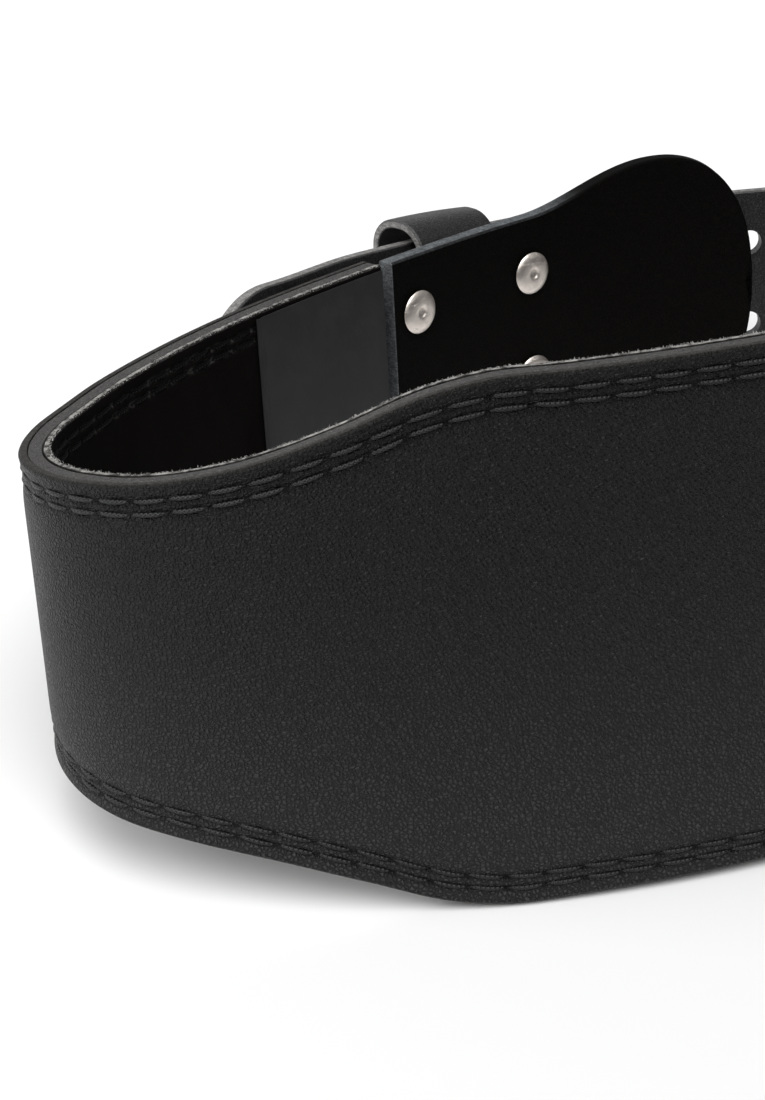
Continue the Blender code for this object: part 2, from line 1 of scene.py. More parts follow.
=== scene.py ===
"""Looks of the padded leather weightlifting belt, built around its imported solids.

Stations run along the outer face of the padded body, from the middle of the back towards the end with the
buckle. A distance is measured outwards from that face, and a height from the middle of the belt's width.
"""

import math

import bpy
import numpy as np
from mathutils import Matrix


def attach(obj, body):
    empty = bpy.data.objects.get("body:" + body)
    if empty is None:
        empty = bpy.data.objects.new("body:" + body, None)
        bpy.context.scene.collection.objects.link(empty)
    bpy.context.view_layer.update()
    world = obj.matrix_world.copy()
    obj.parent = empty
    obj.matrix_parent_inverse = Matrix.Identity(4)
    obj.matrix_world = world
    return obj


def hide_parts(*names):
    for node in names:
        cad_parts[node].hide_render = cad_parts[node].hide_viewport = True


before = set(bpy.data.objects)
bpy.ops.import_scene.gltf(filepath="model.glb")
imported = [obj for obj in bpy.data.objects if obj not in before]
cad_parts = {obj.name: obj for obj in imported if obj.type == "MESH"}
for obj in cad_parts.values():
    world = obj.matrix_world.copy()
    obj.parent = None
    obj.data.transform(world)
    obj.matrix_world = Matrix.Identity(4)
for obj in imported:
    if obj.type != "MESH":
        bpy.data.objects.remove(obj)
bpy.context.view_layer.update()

# Sizes shared with the solids, in metres
LOOP_LENGTH = 0.7685
PLAN_START = 0.116843
LUMBAR_WIDTH = 0.100
LUMBAR_LENGTH = 0.183
TAPER_LENGTH = 0.130
STRAP_WIDTH = 0.055
OUTER_THICK = 0.0017
CORE_THICK = 0.0023
LINING_THICK = 0.0015
PLY_GAP = 0.00025
BODY_THICK = OUTER_THICK + CORE_THICK + LINING_THICK + 2 * PLY_GAP
END_A = 0.3230
END_B = 0.4455
FLAP_START = 0.3280
FLAP_END = 0.4375
FLAP_THICK = 0.0042
FLAP_WIDTH = 0.0525
FLAP_FLARE = 0.0071
RIVETS_FIRST = 0.3360
RIVETS_SECOND = 0.3730
RIVETS_BILLET = (0.4590, 0.47925)
RIVET_ROWS = 0.0256
RIVET_HEAD = 0.0100
BAR_STATION = 0.3975
ROLLER_STATION = 0.4255
KEEPER_MIDDLE = 0.3548
KEEPER_LENGTH = 0.024
KEEPER_HEIGHT = 0.0580
KEEPER_DROP = 0.0026
KEEPER_DEPTH = 0.0167
KEEPER_CORNER = 0.0075
KEEPER_THICK = 0.0020
CHAPE_END = 0.2985
CHAPE_THICK = 0.0020
CHAPE_WIDTH = 0.040
CHAPE_RAISED = 0.0026
BILLET_END = 0.2715
BILLET_ROOT = 0.4905
BILLET_THICK = 0.0030
BILLET_WIDTH = 0.047
BILLET_TIP = 0.026
BILLET_RISE = 0.0069
HOLE_WIDTH = 0.0062
HOLE_PITCH = 0.032
HOLE_ROWS = 0.021
LABEL_LENGTH = 0.041
RIBBON_THICK = 0.00022
RIBBON_STAND = 0.00045
BUCKLE_WIRE = 0.0040
BUCKLE_INSIDE = 0.051
BUCKLE_CORNER = 0.0065
ROLLER_WIDTH = 0.0070
PRONG_WIRE = 0.0026
RIVET_HEAD_HEIGHT = 0.0010
FIT_GAP = 0.0003
ROLLER_DISTANCE = 2 * FIT_GAP + BILLET_THICK + ROLLER_WIDTH / 2
FOLD_RADIUS = BUCKLE_WIRE / 2 + FIT_GAP + CHAPE_THICK / 2
EYE_RADIUS = BUCKLE_WIRE / 2 + FIT_GAP + PRONG_WIRE / 2
BAR_DISTANCE = FIT_GAP + PRONG_WIRE / 2 + EYE_RADIUS

# How the level belt is leant over to its rest, as the solids are
LEAN = np.array((
    (0.8748223, 0.4843635, 0.0088212),
    (-0.4822736, 0.8690373, 0.1103920),
    (0.0458039, -0.1008276, 0.9938490),
))
PLACE = np.array((-0.1227437, -0.0551262, 0.0493084))

# The camera: its place, the directions of its right, its top and its back, and its lens
CAMERA_PLACE = (-0.295452, -0.346774, 0.265875)
CAMERA_AXES = (
    (0.850749, -0.525558, -0.003936),
    (0.263495, 0.420031, 0.868415),
    (-0.454749, -0.739840, 0.495823),
)
CAMERA_LENS = 77.158
CAMERA_SENSOR = 36.0

# The floor's half width and level, and the strength of the even light from all round
FLOOR_HALF = 4.0
FLOOR_LEVEL = -0.0001
STUDIO_LIGHT = 0.24

# How much thicker the core is drawn to fill the fine gaps beside it, how much of that lies towards the
# lining, and how far it stays under the edges of the leather
CORE_SWELL = 0.00025
CORE_SHIFT = 0.0001
CORE_INSET = 0.00012

# The label: how far it stays from the strap's end and from its edges
LABEL_END_GAP = 0.0003
LABEL_EDGE_GAP = 0.0010

# The straps over the buckle: where the chape starts to climb before the body's end, where the billet is level
# over the bar, the length of its ramp down, and the keeper's crown
CHAPE_CLIMB = 0.0035
BILLET_BEFORE_BAR = 0.004
BILLET_PAST_BAR = 0.006
BILLET_RAMP = 0.015
KEEPER_CROWN = 0.00025

# The buckle: the roller's room at its ends, its turned lips, the prongs' tips past the roller, the room round
# a prong in its slot, and the reach of the tools that cut the holes
ROLLER_END_GAP = 0.0035
ROLLER_LIP = 0.0003
PRONG_PAST_ROLLER = 0.004
PRONG_ROOM = 0.0006
HOLE_REACH = 0.004

# Sewing: stitch length, thread, how far the two rows lie from the edge and how far they stop from the body's
# ends, how deep each row's groove is, and how far both rows draw in the face and the lining
STITCH = 0.0071
THREAD = 0.00100
SEAM_ROWS = (0.0031, 0.0055)
SEAM_END = 0.004
GROOVE = 0.000375
SEAM_PULL = 0.00038
LINING_PULL = 0.00040

# Sections: the rounds of the outer and the inner edges, how far the fine rows reach in from an edge and their
# step, the number of rows between them, and the number across a cut edge
SECTIONS = {
    "outer": (0.00075, 0.00015, 0.0092, 0.00034, 16, 5),
    "core": (0.00020, 0.00020, 0.0020, 0.0010, 10, 7),
    "suede": (0.00025, 0.00055, 0.0092, 0.00045, 14, 5),
    "label": (0.00008, 0.00008, 0.0010, 0.0003, 60, 2),
    "flap": (0.0007, 0.0007, 0.0040, 0.0006, 26, 8),
    "chape": (0.0006, 0.0005, 0.0030, 0.0006, 18, 6),
    "billet": (0.0007, 0.0005, 0.0030, 0.0006, 20, 6),
    "keeper": (0.0006, 0.0004, 0.0028, 0.0005, 12, 6),
}

# The closed plan: each arc's length and turn in radians, and how far the arcs' curvature is blurred
PLAN = np.array((
    (0.02357, 0.21031),
    (0.01588, 0.27751),
    (0.03867, 1.07425),
    (0.02056, 0.34854),
    (0.02422, 0.19199),
    (0.05606, 0.23544),
    (0.05621, 0.09338),
    (0.04212, 0.18588),
    (0.03737, 0.44698),
    (0.08113, 0.20944),
    (0.02803, 0.34907),
    (0.05146, 1.17338),
    (0.02803, 0.38397),
    (0.03737, 0.27925),
    (0.16233, 0.58050),
    (0.06548, 0.24330),
))
PLAN_SOFTENING = 0.004

# How the width falls from the back to the strap: share of the taper, share of the fall still to come
TAPER = np.array((
    (-0.10, 1.000),
    (0.00, 1.000),
    (0.08, 0.921),
    (0.20, 0.669),
    (0.32, 0.449),
    (0.45, 0.298),
    (0.57, 0.223),
    (0.70, 0.144),
    (0.88, 0.046),
    (1.00, 0.000),
    (1.10, 0.000),
))


# The belt's plan and its widths


def plan_line(soften):
    """Closed plan sampled evenly: the arcs' curvature blurred by a Gaussian, summed to the heading, and the
    heading's direction summed to points. What the blur leaves open is shared out along the line."""
    count = 4096
    step = LOOP_LENGTH / count
    lengths = PLAN[:, 0] * LOOP_LENGTH / PLAN[:, 0].sum()
    ends = np.cumsum(lengths)
    along = (np.arange(count) + 0.5) * step
    arc = np.clip(np.searchsorted(ends, along), 0, len(lengths) - 1)
    bend = PLAN[arc, 1] / lengths[arc]
    if soften > 0:
        waves = np.fft.rfftfreq(count, step)
        bend = np.fft.irfft(np.fft.rfft(bend) * np.exp(-2 * (math.pi * soften * waves) ** 2), count)
    bend *= 2 * math.pi / (bend.sum() * step)
    heading = np.concatenate([[0], np.cumsum(bend) * step])
    middle = (heading[1:] + heading[:-1]) / 2
    moves = np.stack([-np.cos(middle), np.sin(middle)], axis=1) * step
    points = np.concatenate([np.zeros((1, 2)), np.cumsum(moves, axis=0)])
    points -= points[-1] * np.linspace(0, 1, count + 1)[:, None]
    return points, heading


SHARP_PLAN, _ = plan_line(0.0)
PLAN_POINTS, PLAN_HEADINGS = plan_line(PLAN_SOFTENING)
PLAN_POINTS = PLAN_POINTS + (SHARP_PLAN - PLAN_POINTS)[:-1].mean(axis=0)


def wall(station):
    """Plan points and outward directions at stations, read from the sampled plan."""
    along = (np.asarray(station, float) - PLAN_START) % LOOP_LENGTH
    grid = np.linspace(0, LOOP_LENGTH, len(PLAN_HEADINGS))
    heading = np.interp(along, grid, PLAN_HEADINGS)
    outward = np.stack([-np.sin(heading), -np.cos(heading)], axis=-1)
    return plan_at(along, grid, PLAN_POINTS), outward


def settled(points):
    """The level belt's points leant over to their rest."""
    return points @ LEAN.T + PLACE


def stood(plan, height):
    """Plan points raised to their heights, leant over to their rest."""
    return settled(np.concatenate([plan, height[..., None]], axis=-1))


def unit(vectors):
    """Vectors of length one."""
    return vectors / np.linalg.norm(vectors, axis=-1, keepdims=True)


def travelled(line):
    """Length of a line up to each of its points."""
    return np.concatenate([[0], np.cumsum(np.linalg.norm(np.diff(line, axis=0), axis=1))])


def plan_at(travel, grid, line):
    """Points of a plan line, read between its sampled points."""
    return np.stack([np.interp(travel, grid, line[:, i]) for i in (0, 1)], axis=-1)


def smoothstep(value):
    """3t^2 - 2t^3, with t held between 0 and 1."""
    t = np.clip(value, 0, 1)
    return t * t * (3 - 2 * t)


def read_table(table, value):
    """Smooth cubic through a table's rows, with slopes taken between neighbours."""
    at, height = table.T
    slope = np.gradient(height, at)
    row = np.clip(np.searchsorted(at, value) - 1, 0, len(at) - 2)
    span = at[row + 1] - at[row]
    t = np.clip((value - at[row]) / span, 0, 1)
    start = height[row] * (1 + 2 * t) * (1 - t) ** 2 + slope[row] * span * t * (1 - t) ** 2
    end = height[row + 1] * t * t * (3 - 2 * t) - slope[row + 1] * span * t * t * (1 - t)
    return start + end


def ramps(rows, station):
    """Distance at each station, eased from row to row by smoothstep."""
    at, distance = np.array(sorted(rows), float).T
    row = np.clip(np.searchsorted(at, station) - 1, 0, len(at) - 2)
    t = smoothstep((station - at[row]) / (at[row + 1] - at[row]))
    return distance[row] + (distance[row + 1] - distance[row]) * t


def body_half(station):
    """Half the body's width: the table's fall from the back to the strap."""
    around = (station + LOOP_LENGTH / 2) % LOOP_LENGTH - LOOP_LENGTH / 2
    share = (np.abs(around) - LUMBAR_LENGTH / 2) / TAPER_LENGTH
    return (STRAP_WIDTH + (LUMBAR_WIDTH - STRAP_WIDTH) * read_table(TAPER, share)) / 2


def flap_half(station):
    """Half the flap's width: plain, flared by smoothstep, then a superellipse to its end."""
    peak = (BAR_STATION + ROLLER_STATION) / 2
    flare = smoothstep((station - RIVETS_SECOND) / (peak - RIVETS_SECOND))
    share = np.clip((station - peak) / (FLAP_END - peak), 0, 1)
    return (FLAP_WIDTH / 2 + FLAP_FLARE * flare) * (1 - share ** 2.4) ** (1 / 2.4)


def billet_half(station):
    """Half the billet's width, with an elliptic tip."""
    share = np.clip((BILLET_END + BILLET_TIP - station) / BILLET_TIP, 0, 1)
    return BILLET_WIDTH / 2 * (1 - share ** 2) ** 0.5


def billet_middle(station):
    """Height of the billet's middle: level from its root to the bar, then climbing to its tip."""
    before = KEEPER_MIDDLE + KEEPER_LENGTH / 2 - np.minimum(station, BAR_STATION)
    return BILLET_RISE * before / (BAR_STATION - CHAPE_END)


# Mesh making


def put(name, data):
    """Object of a mesh, light or camera in the scene."""
    made = bpy.data.objects.new(name, data)
    bpy.context.scene.collection.objects.link(made)
    return made


def mesh_of(name, points, faces):
    """Mesh of world points and faces."""
    mesh = bpy.data.meshes.new(name)
    mesh.from_pydata(np.asarray(points, np.float64).reshape(-1, 3).tolist(), [], faces)
    return mesh


def add_mesh(name, points, faces, look, uv=None, marks=None, sharp=40.0):
    """Piece of world points and faces, with a UV for each point and named numbers for each point."""
    mesh = mesh_of(name, points, faces)
    corners = np.empty(len(mesh.loops), np.int32)
    mesh.loops.foreach_get("vertex_index", corners)
    if uv is not None:
        layer = mesh.uv_layers.new(name="along")
        layer.data.foreach_set("uv", np.asarray(uv, np.float32).reshape(-1, 2)[corners].ravel())
    for mark, values in (marks or {}).items():
        attribute = mesh.attributes.new(mark, "FLOAT", "POINT")
        attribute.data.foreach_set("value", np.asarray(values, np.float32).ravel())
    mesh.shade_smooth()
    mesh.set_sharp_from_angle(angle=math.radians(sharp))
    mesh.materials.append(look)
    made = put(name, mesh)
    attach(made, "root")
    return made


def grid_faces(rows, columns, around=True, caps=True, closed=False):
    """Faces of a grid of rows by columns, joined round its columns, its ends capped or joined."""
    row = np.arange(rows if closed else rows - 1)[:, None]
    column = np.arange(columns if around else columns - 1)[None, :]
    ahead = (row + 1) % rows
    beside = (column + 1) % columns
    row, ahead = row * columns, ahead * columns
    corners = np.broadcast_arrays(row + column, row + beside, ahead + beside, ahead + column)
    faces = np.stack(corners, axis=-1).reshape(-1, 4).tolist()
    if caps and not closed:
        faces.append(list(range(columns))[::-1])
        faces.append(list(range((rows - 1) * columns, rows * columns)))
    return faces


def outline(section):
    """Closed section of a wall, with sizes from the table: up the outer face, over the top edge, down the
    inner face and along the bottom. Each row is (share across, metres across, share up, metres up, on the cut
    edge)."""
    round_out, round_in, border, fine, coarse, across = SECTIONS[section]
    rows = []

    def face(side, offset, corner, upward):
        near = np.arange(corner, border, fine)
        low = [(side, offset, 0, h, 0) for h in near]
        middle = [(side, offset, t, border * (1 - 2 * t), 0) for t in np.linspace(0, 1, coarse)]
        high = [(side, offset, 1, -h, 0) for h in near[::-1]]
        run = low + middle + high
        return run if upward else run[::-1]

    def arc(side, radius, level, first, last):
        turn = np.radians(np.linspace(first, last, 6))[1:-1]
        inward = -1 if side == 1 else 1
        rise = -1 if level == 1 else 1
        return [
            (side, inward * radius * (1 - math.cos(a)), level, rise * radius * (1 - math.sin(a)), 0.34)
            for a in turn
        ]

    def edge(level, outwards):
        share = np.linspace(1, 0, across)
        run = [(t, -round_out * t + round_in * (1 - t), level, 0, 1) for t in share]
        return run[::-1] if outwards else run

    rows += face(1, 0, round_out, True)
    rows += arc(1, round_out, 1, 0, 90)
    rows += edge(1, False)
    rows += arc(0, round_in, 1, 90, 0)
    rows += face(0, 0, round_in, False)
    rows += arc(0, round_in, 0, 0, 90)
    rows += edge(0, True)
    rows += arc(1, round_out, 0, 90, 0)
    return np.array(rows)


def sweep(
    name, line, normal, near, thick, low, high, rows, look, station=None, relief=None, end_round=0.0003
):
    """Solid swept along a plan line: point = line + normal * (near + share * thick + metres), at height
    low + share * (high - low) + metres, where metres up are stretched by the edge's slope. The relief is
    added along the normal, and both ends are drawn in by a small round."""
    share_in, across, share_up, up, cut = rows.T
    travel = travelled(line)
    slope_high = np.hypot(1, np.gradient(high, travel))[:, None]
    slope_low = np.hypot(1, np.gradient(low, travel))[:, None]
    near = np.broadcast_to(near, travel.shape)[:, None]
    height = (high - low)[:, None]
    stretch = np.where(up[None] < 0, slope_high, slope_low)
    metres = np.clip(up[None] * stretch, -0.49 * height, 0.49 * height)
    z = low[:, None] + share_up[None] * height + metres
    d = near + share_in[None] * thick + across[None]
    from_end = np.minimum(travel, travel[-1] - travel)
    drawn = end_round * (1 - np.sqrt(1 - (1 - np.clip(from_end / end_round, 0, 1)) ** 2))[:, None]
    middle = near + thick / 2
    d = middle + (d - middle) * (1 - 2 * drawn / thick)
    centre = (low + high)[:, None] / 2
    z = centre + (z - centre) * (1 - drawn / np.maximum(height / 2, drawn + 1e-5))
    pressed = 0 * z
    if relief is not None:
        pressed = relief(station[:, None] + 0 * z, z, rows)
        d = d + pressed
    points = stood(line[:, None] + normal[:, None] * d[..., None], z)
    length = np.zeros_like(z)
    length[:, 1:] = np.cumsum(np.hypot(np.diff(d, axis=1), np.diff(z, axis=1)), axis=1)
    uv = np.stack([travel[:, None] + 0 * z, length], axis=-1)
    ends = (from_end < 0.00013)[:, None]
    marks = {"cut_edge": np.maximum(cut[None], ends) + 0 * z, "pressed": pressed * 1000}
    faces = grid_faces(*z.shape)
    return add_mesh(name, points, faces, look, uv, marks)


def even(start, end, step, ends=0.0003):
    """Stations from start to end at an even step, with a few more close to both ends."""
    inner = np.linspace(start + ends, end - ends, max(2, int(round((end - start) / step))))
    small = np.array([0.0, 0.12, 0.4]) * ends
    return np.concatenate([start + small, inner, end - small[::-1]])


def laid(levels, run, thick):
    """Middle line of a strap that lies over the wall at its levels, and the wall's outward directions."""
    line, outward = wall(run)
    return line + outward * (ramps(levels, run) + thick / 2)[:, None], outward


def turned_normals(line, outward):
    """Unit normals of a plan line, on the side of the outward direction at its start."""
    tangent = unit(np.gradient(line, axis=0))
    normal = np.stack([-tangent[:, 1], tangent[:, 0]], axis=1)
    return normal if normal[0] @ outward > 0 else -normal


def lump(values, scale, seed):
    """Smooth noise of one or two coordinates: a sum of eight sines with drawn directions and phases."""
    draw = np.random.default_rng(seed)
    total = 0
    for _ in range(8):
        turn, phase = draw.uniform(0, 2 * math.pi, 2)
        size = draw.uniform(0.6, 1.6) / scale
        total = total + np.sin(size * (values[0] * math.cos(turn) + values[1] * math.sin(turn)) + phase)
    return total / 8


def stitches(name, runs, look, stitch=STITCH, thread=THREAD, seed=1):
    """Sewn threads. Each run gives a function from travel to (plan point, normal, height), its length, its
    distance and the side that it shows on. A stitch is a tube of nine rings of seven points. Its middle is
    lifted by the square root of a sine, and its ends dive under the surface."""
    draw = np.random.default_rng(seed)
    rings, sides = 9, 7
    t = np.linspace(0, 1, rings)
    angle = np.linspace(0, 2 * math.pi, sides, endpoint=False)
    lift = np.sin(math.pi * t) ** 0.5
    girth = thread / 2 * (0.35 + 0.65 * np.sin(math.pi * np.clip(t, 0.04, 0.96)) ** 0.35)
    all_points, all_faces, all_uv = [], [], []
    start = 0
    for follow, length, distance, side in runs:
        count = int(length // stitch)
        first = (np.arange(count) + 0.5 * (length / stitch - count)) * stitch
        first = first + draw.normal(0, 0.04 * stitch / 2, count)
        travel = first[:, None] + stitch * (0.03 + 0.94 * t)[None]
        tilt = draw.normal(0.00010, 0.00005, count)[:, None] * (t - 0.5)[None] * 2
        line, normal, height = follow(travel)
        rise = thread * (0.62 * lift - 0.36)[None] + draw.normal(0, 0.00003, count)[:, None]
        centre_d = distance + side * rise
        z = height + tilt
        ring_d = centre_d[..., None] + side * girth[None, :, None] * np.cos(angle) * 0.85
        ring_z = z[..., None] + girth[None, :, None] * np.sin(angle) * side
        points = stood(line[:, :, None] + normal[:, :, None] * ring_d[..., None], ring_z)
        faces = np.array(grid_faces(rings, sides, caps=False))
        shift = start + np.arange(count)[:, None, None] * rings * sides
        all_faces += (faces[None] + shift).reshape(-1, 4).tolist()
        ends = np.stack([np.arange(sides)[::-1], np.arange(sides) + (rings - 1) * sides])
        all_faces += (ends[None] + shift).reshape(-1, sides).tolist()
        all_points.append(points.reshape(-1, 3))
        along = travel[..., None] + 0 * ring_d
        around = (angle / (2 * math.pi))[None, None] + 0 * ring_d
        all_uv.append(np.stack([along / stitch, around], axis=-1).reshape(-1, 2))
        start += count * rings * sides
    return add_mesh(name, np.concatenate(all_points), all_faces, look, np.concatenate(all_uv), sharp=80)


def edge_row(half, inset, upper, start, end):
    """Follows an edge at an even inset: travels to plan points, normals and heights, with the inset
    stretched by the edge's slope. Returns the function and the row's length."""
    grid = np.linspace(start, end, 1200)
    slope = np.gradient(half(grid), grid)
    stretch = np.hypot(1, slope)
    travel = np.concatenate([[0], np.cumsum((stretch[1:] + stretch[:-1]) / 2 * np.diff(grid))])
    sign = 1 if upper else -1

    def follow(length):
        station = np.interp(length, travel, grid)
        line, normal = wall(station)
        return line, normal, sign * (half(station) - inset * np.interp(station, grid, stretch))

    return follow, travel[-1]


def fibres(name, count, root, reach, look, thick=0.00005, seed=5):
    """Loose fibres: bent three-sided spikes from drawn roots, each leaning in its own direction, and none
    under the floor."""
    draw = np.random.default_rng(seed)
    points, normal, up = root(draw, count)
    side = np.cross(normal, up)
    lean = draw.normal(0, 0.75, (count, 3))
    aim = up * (0.35 + np.abs(lean[:, :1])) + side * lean[:, 1:2] + normal * lean[:, 2:]
    aim = unit(aim)
    curl = draw.normal(0, 0.6, (count, 3))
    size = draw.uniform(0.35, 1.0, (count, 1)) * reach
    t = np.array([0.0, 0.4, 0.75])
    angle = np.arange(3) * 2 * math.pi / 3
    share = t[None, :, None]
    spine = points[:, None] + size[:, None] * (aim[:, None] * share + 0.5 * curl[:, None] * share ** 2)
    width = thick * (1 - 0.5 * t)[None, :, None, None]
    across = unit(np.cross(aim, up + 0.3))
    other = np.cross(aim, across)
    ring = across[:, None, None] * np.cos(angle)[None, None, :, None]
    ring = ring + other[:, None, None] * np.sin(angle)[None, None, :, None]
    rings = spine[:, :, None] + ring * width
    tips = points + size * (aim + 0.5 * curl)
    body = np.concatenate([rings.reshape(count, 9, 3), tips[:, None]], axis=1)
    body[..., 2] = np.maximum(body[..., 2], 0.00002)
    faces = np.array(grid_faces(3, 3, caps=False))
    shift = np.arange(count)[:, None, None] * 10
    quads = (faces[None] + shift).reshape(-1, 4).tolist()
    ends = np.array([(2, 1, 0), (6, 7, 9), (7, 8, 9), (8, 6, 9)])
    ends = (ends[None] + shift).reshape(-1, 3).tolist()
    return add_mesh(name, body.reshape(-1, 3), quads + ends, look)


def tube(name, centres, thick, sides, look, closed=False, sharp=60.0):
    """Round wire: rings of points round a line, each ring square to the line's direction."""
    centres = np.asarray(centres, float)
    ahead = np.roll(centres, -1, axis=0) - np.roll(centres, 1, axis=0)
    if not closed:
        ahead[0] = centres[1] - centres[0]
        ahead[-1] = centres[-1] - centres[-2]
    fixed = np.linalg.svd(centres - centres.mean(axis=0))[2][-1]
    side = unit(np.cross(unit(ahead), fixed))
    angle = np.linspace(0, 2 * math.pi, sides, endpoint=False)
    radius = np.broadcast_to(thick, len(centres))[:, None, None] / 2
    spokes = side[:, None] * np.cos(angle)[None, :, None] + fixed * np.sin(angle)[None, :, None]
    points = centres[:, None] + radius * spokes
    uv = np.stack(np.broadcast_arrays(travelled(centres)[:, None], angle[None] * np.mean(thick) / 2), axis=-1)
    faces = grid_faces(len(centres), sides, closed=closed)
    return add_mesh(name, points, faces, look, uv, sharp=sharp)


def turned(profile, sides, place):
    """Turned surface: (radius, height) corners spun about local Z and placed in the world; the points."""
    angle = np.linspace(0, 2 * math.pi, sides, endpoint=False)
    radius, height = np.asarray(profile, float).T
    local = np.stack([
        radius[:, None] * np.cos(angle),
        radius[:, None] * np.sin(angle),
        height[:, None] + 0 * angle,
        1 + 0 * radius[:, None] * angle,
    ], axis=-1)
    return (local @ place.T)[..., :3]


def facing(point, height, along):
    """World placement at a level plan point: local X along a plan direction and local Z outwards."""
    along = np.array([along[0], along[1], 0.0]) / math.hypot(*along)
    outward = np.array([-along[1], along[0], 0.0])
    axes = np.stack([along, np.cross(outward, along), outward], axis=1)
    place = np.eye(4)
    place[:3, :3] = LEAN @ axes
    place[:3, 3] = settled(np.array([point[0], point[1], height]))
    return place


def placed(points, place):
    """Local points put in the world."""
    return np.asarray(points, float) @ place[:3, :3].T + place[:3, 3]


# Materials


class Field:
    """A number that varies over a surface. Arithmetic on it adds Math nodes to its material."""

    def __init__(self, look, socket):
        self.look = look
        self.socket = socket

    def math(self, operation, *values):
        sockets = dict(enumerate(values))
        return self.look.node("Math", {"operation": operation}, sockets)

    def __add__(self, other):
        return self.math("ADD", self, other)

    def __sub__(self, other):
        return self.math("SUBTRACT", self, other)

    def __rsub__(self, other):
        return self.math("SUBTRACT", other, self)

    def __mul__(self, other):
        return self.math("MULTIPLY", self, other)

    def __truediv__(self, other):
        return self.math("DIVIDE", self, other)

    def __pow__(self, other):
        return self.math("POWER", self, other)

    __radd__ = __add__
    __rmul__ = __mul__

    def sine(self):
        return self.math("SINE", self)

    def size(self):
        return self.math("ABSOLUTE", self)

    def most(self, other):
        return self.math("MAXIMUM", self, other)

    def between(self, low, high):
        """0 below low, 1 above high, and a smooth step between them."""
        sockets = {"Value": self, "From Min": low, "From Max": high}
        return self.look.node("MapRange", {"interpolation_type": "SMOOTHSTEP"}, sockets)


class Look:
    """A material whose nodes are written as expressions."""

    def __init__(self, name, roughness, metallic=0.0, specular=0.5, **fixed):
        self.material = bpy.data.materials.new(name)
        self.material.use_nodes = True
        self.tree = self.material.node_tree
        self.shader = self.tree.nodes["Principled BSDF"]
        self.shader.inputs["Roughness"].default_value = roughness
        self.shader.inputs["Metallic"].default_value = metallic
        self.shader.inputs["Specular IOR Level"].default_value = specular
        for socket, value in fixed.items():
            self.shader.inputs[socket.replace("_", " ")].default_value = value

    def node(self, kind, settings, sockets, output=0):
        """One node: its settings first, then the values or links of its sockets."""
        made = self.tree.nodes.new("ShaderNode" + kind)
        for setting, value in settings.items():
            setattr(made, setting, value)
        for socket, value in sockets.items():
            self.feed(made.inputs[socket], value)
        return Field(self, made.outputs[output])

    def feed(self, socket, value):
        if isinstance(value, Field):
            self.tree.links.new(value.socket, socket)
        else:
            socket.default_value = value

    def set(self, socket, value):
        self.feed(self.shader.inputs[socket], value)

    def place(self):
        return self.node("TexCoord", {}, {}, "Object")

    def along(self):
        """The piece's own UV, in metres along and across it."""
        return self.node("UVMap", {"uv_map": "along"}, {})

    def parts(self, vector):
        """The three numbers of a vector."""
        return [self.node("SeparateXYZ", {}, {0: vector}, i) for i in range(3)]

    def vector(self, *values):
        return self.node("CombineXYZ", {}, dict(enumerate(values)))

    def stretch(self, vector, factors):
        return self.node("VectorMath", {"operation": "MULTIPLY"}, {0: vector, 1: factors})

    def warp(self, vector, scale, amount):
        """A vector pushed about by coloured noise."""
        noise = self.node("TexNoise", {}, {"Vector": vector, "Scale": scale, "Detail": 2.0}, "Color")
        moved = self.node("VectorMath", {"operation": "SUBTRACT"}, {0: noise, 1: (0.5, 0.5, 0.5)})
        moved = self.node("VectorMath", {"operation": "SCALE"}, {0: moved, "Scale": amount})
        return self.node("VectorMath", {"operation": "ADD"}, {0: vector, 1: moved})

    def noise(self, vector, scale, detail=3.0, rough=0.5):
        sockets = {"Vector": vector, "Scale": scale, "Detail": detail, "Roughness": rough}
        return self.node("TexNoise", {}, sockets)

    def cells(self, vector, scale, feature="DISTANCE_TO_EDGE", output="Distance"):
        return self.node("TexVoronoi", {"feature": feature}, {"Vector": vector, "Scale": scale}, output)

    def mark(self, name):
        """A number stored on the mesh."""
        return self.node("Attribute", {"attribute_name": name}, {}, "Fac")

    def mix(self, share, first, second):
        """Colour from first to second as the share goes from 0 to 1."""
        sockets = {0: share}
        for index, colour in ((6, first), (7, second)):
            sockets[index] = colour if isinstance(colour, Field) else (*colour, 1.0)
        return self.node("Mix", {"data_type": "RGBA"}, sockets, 2)

    def bump(self, height, distance, strength=1.0):
        """Relief of a height between 0 and 1, that many metres deep."""
        sockets = {"Height": height, "Distance": distance, "Strength": strength}
        self.set("Normal", self.node("Bump", {}, sockets))


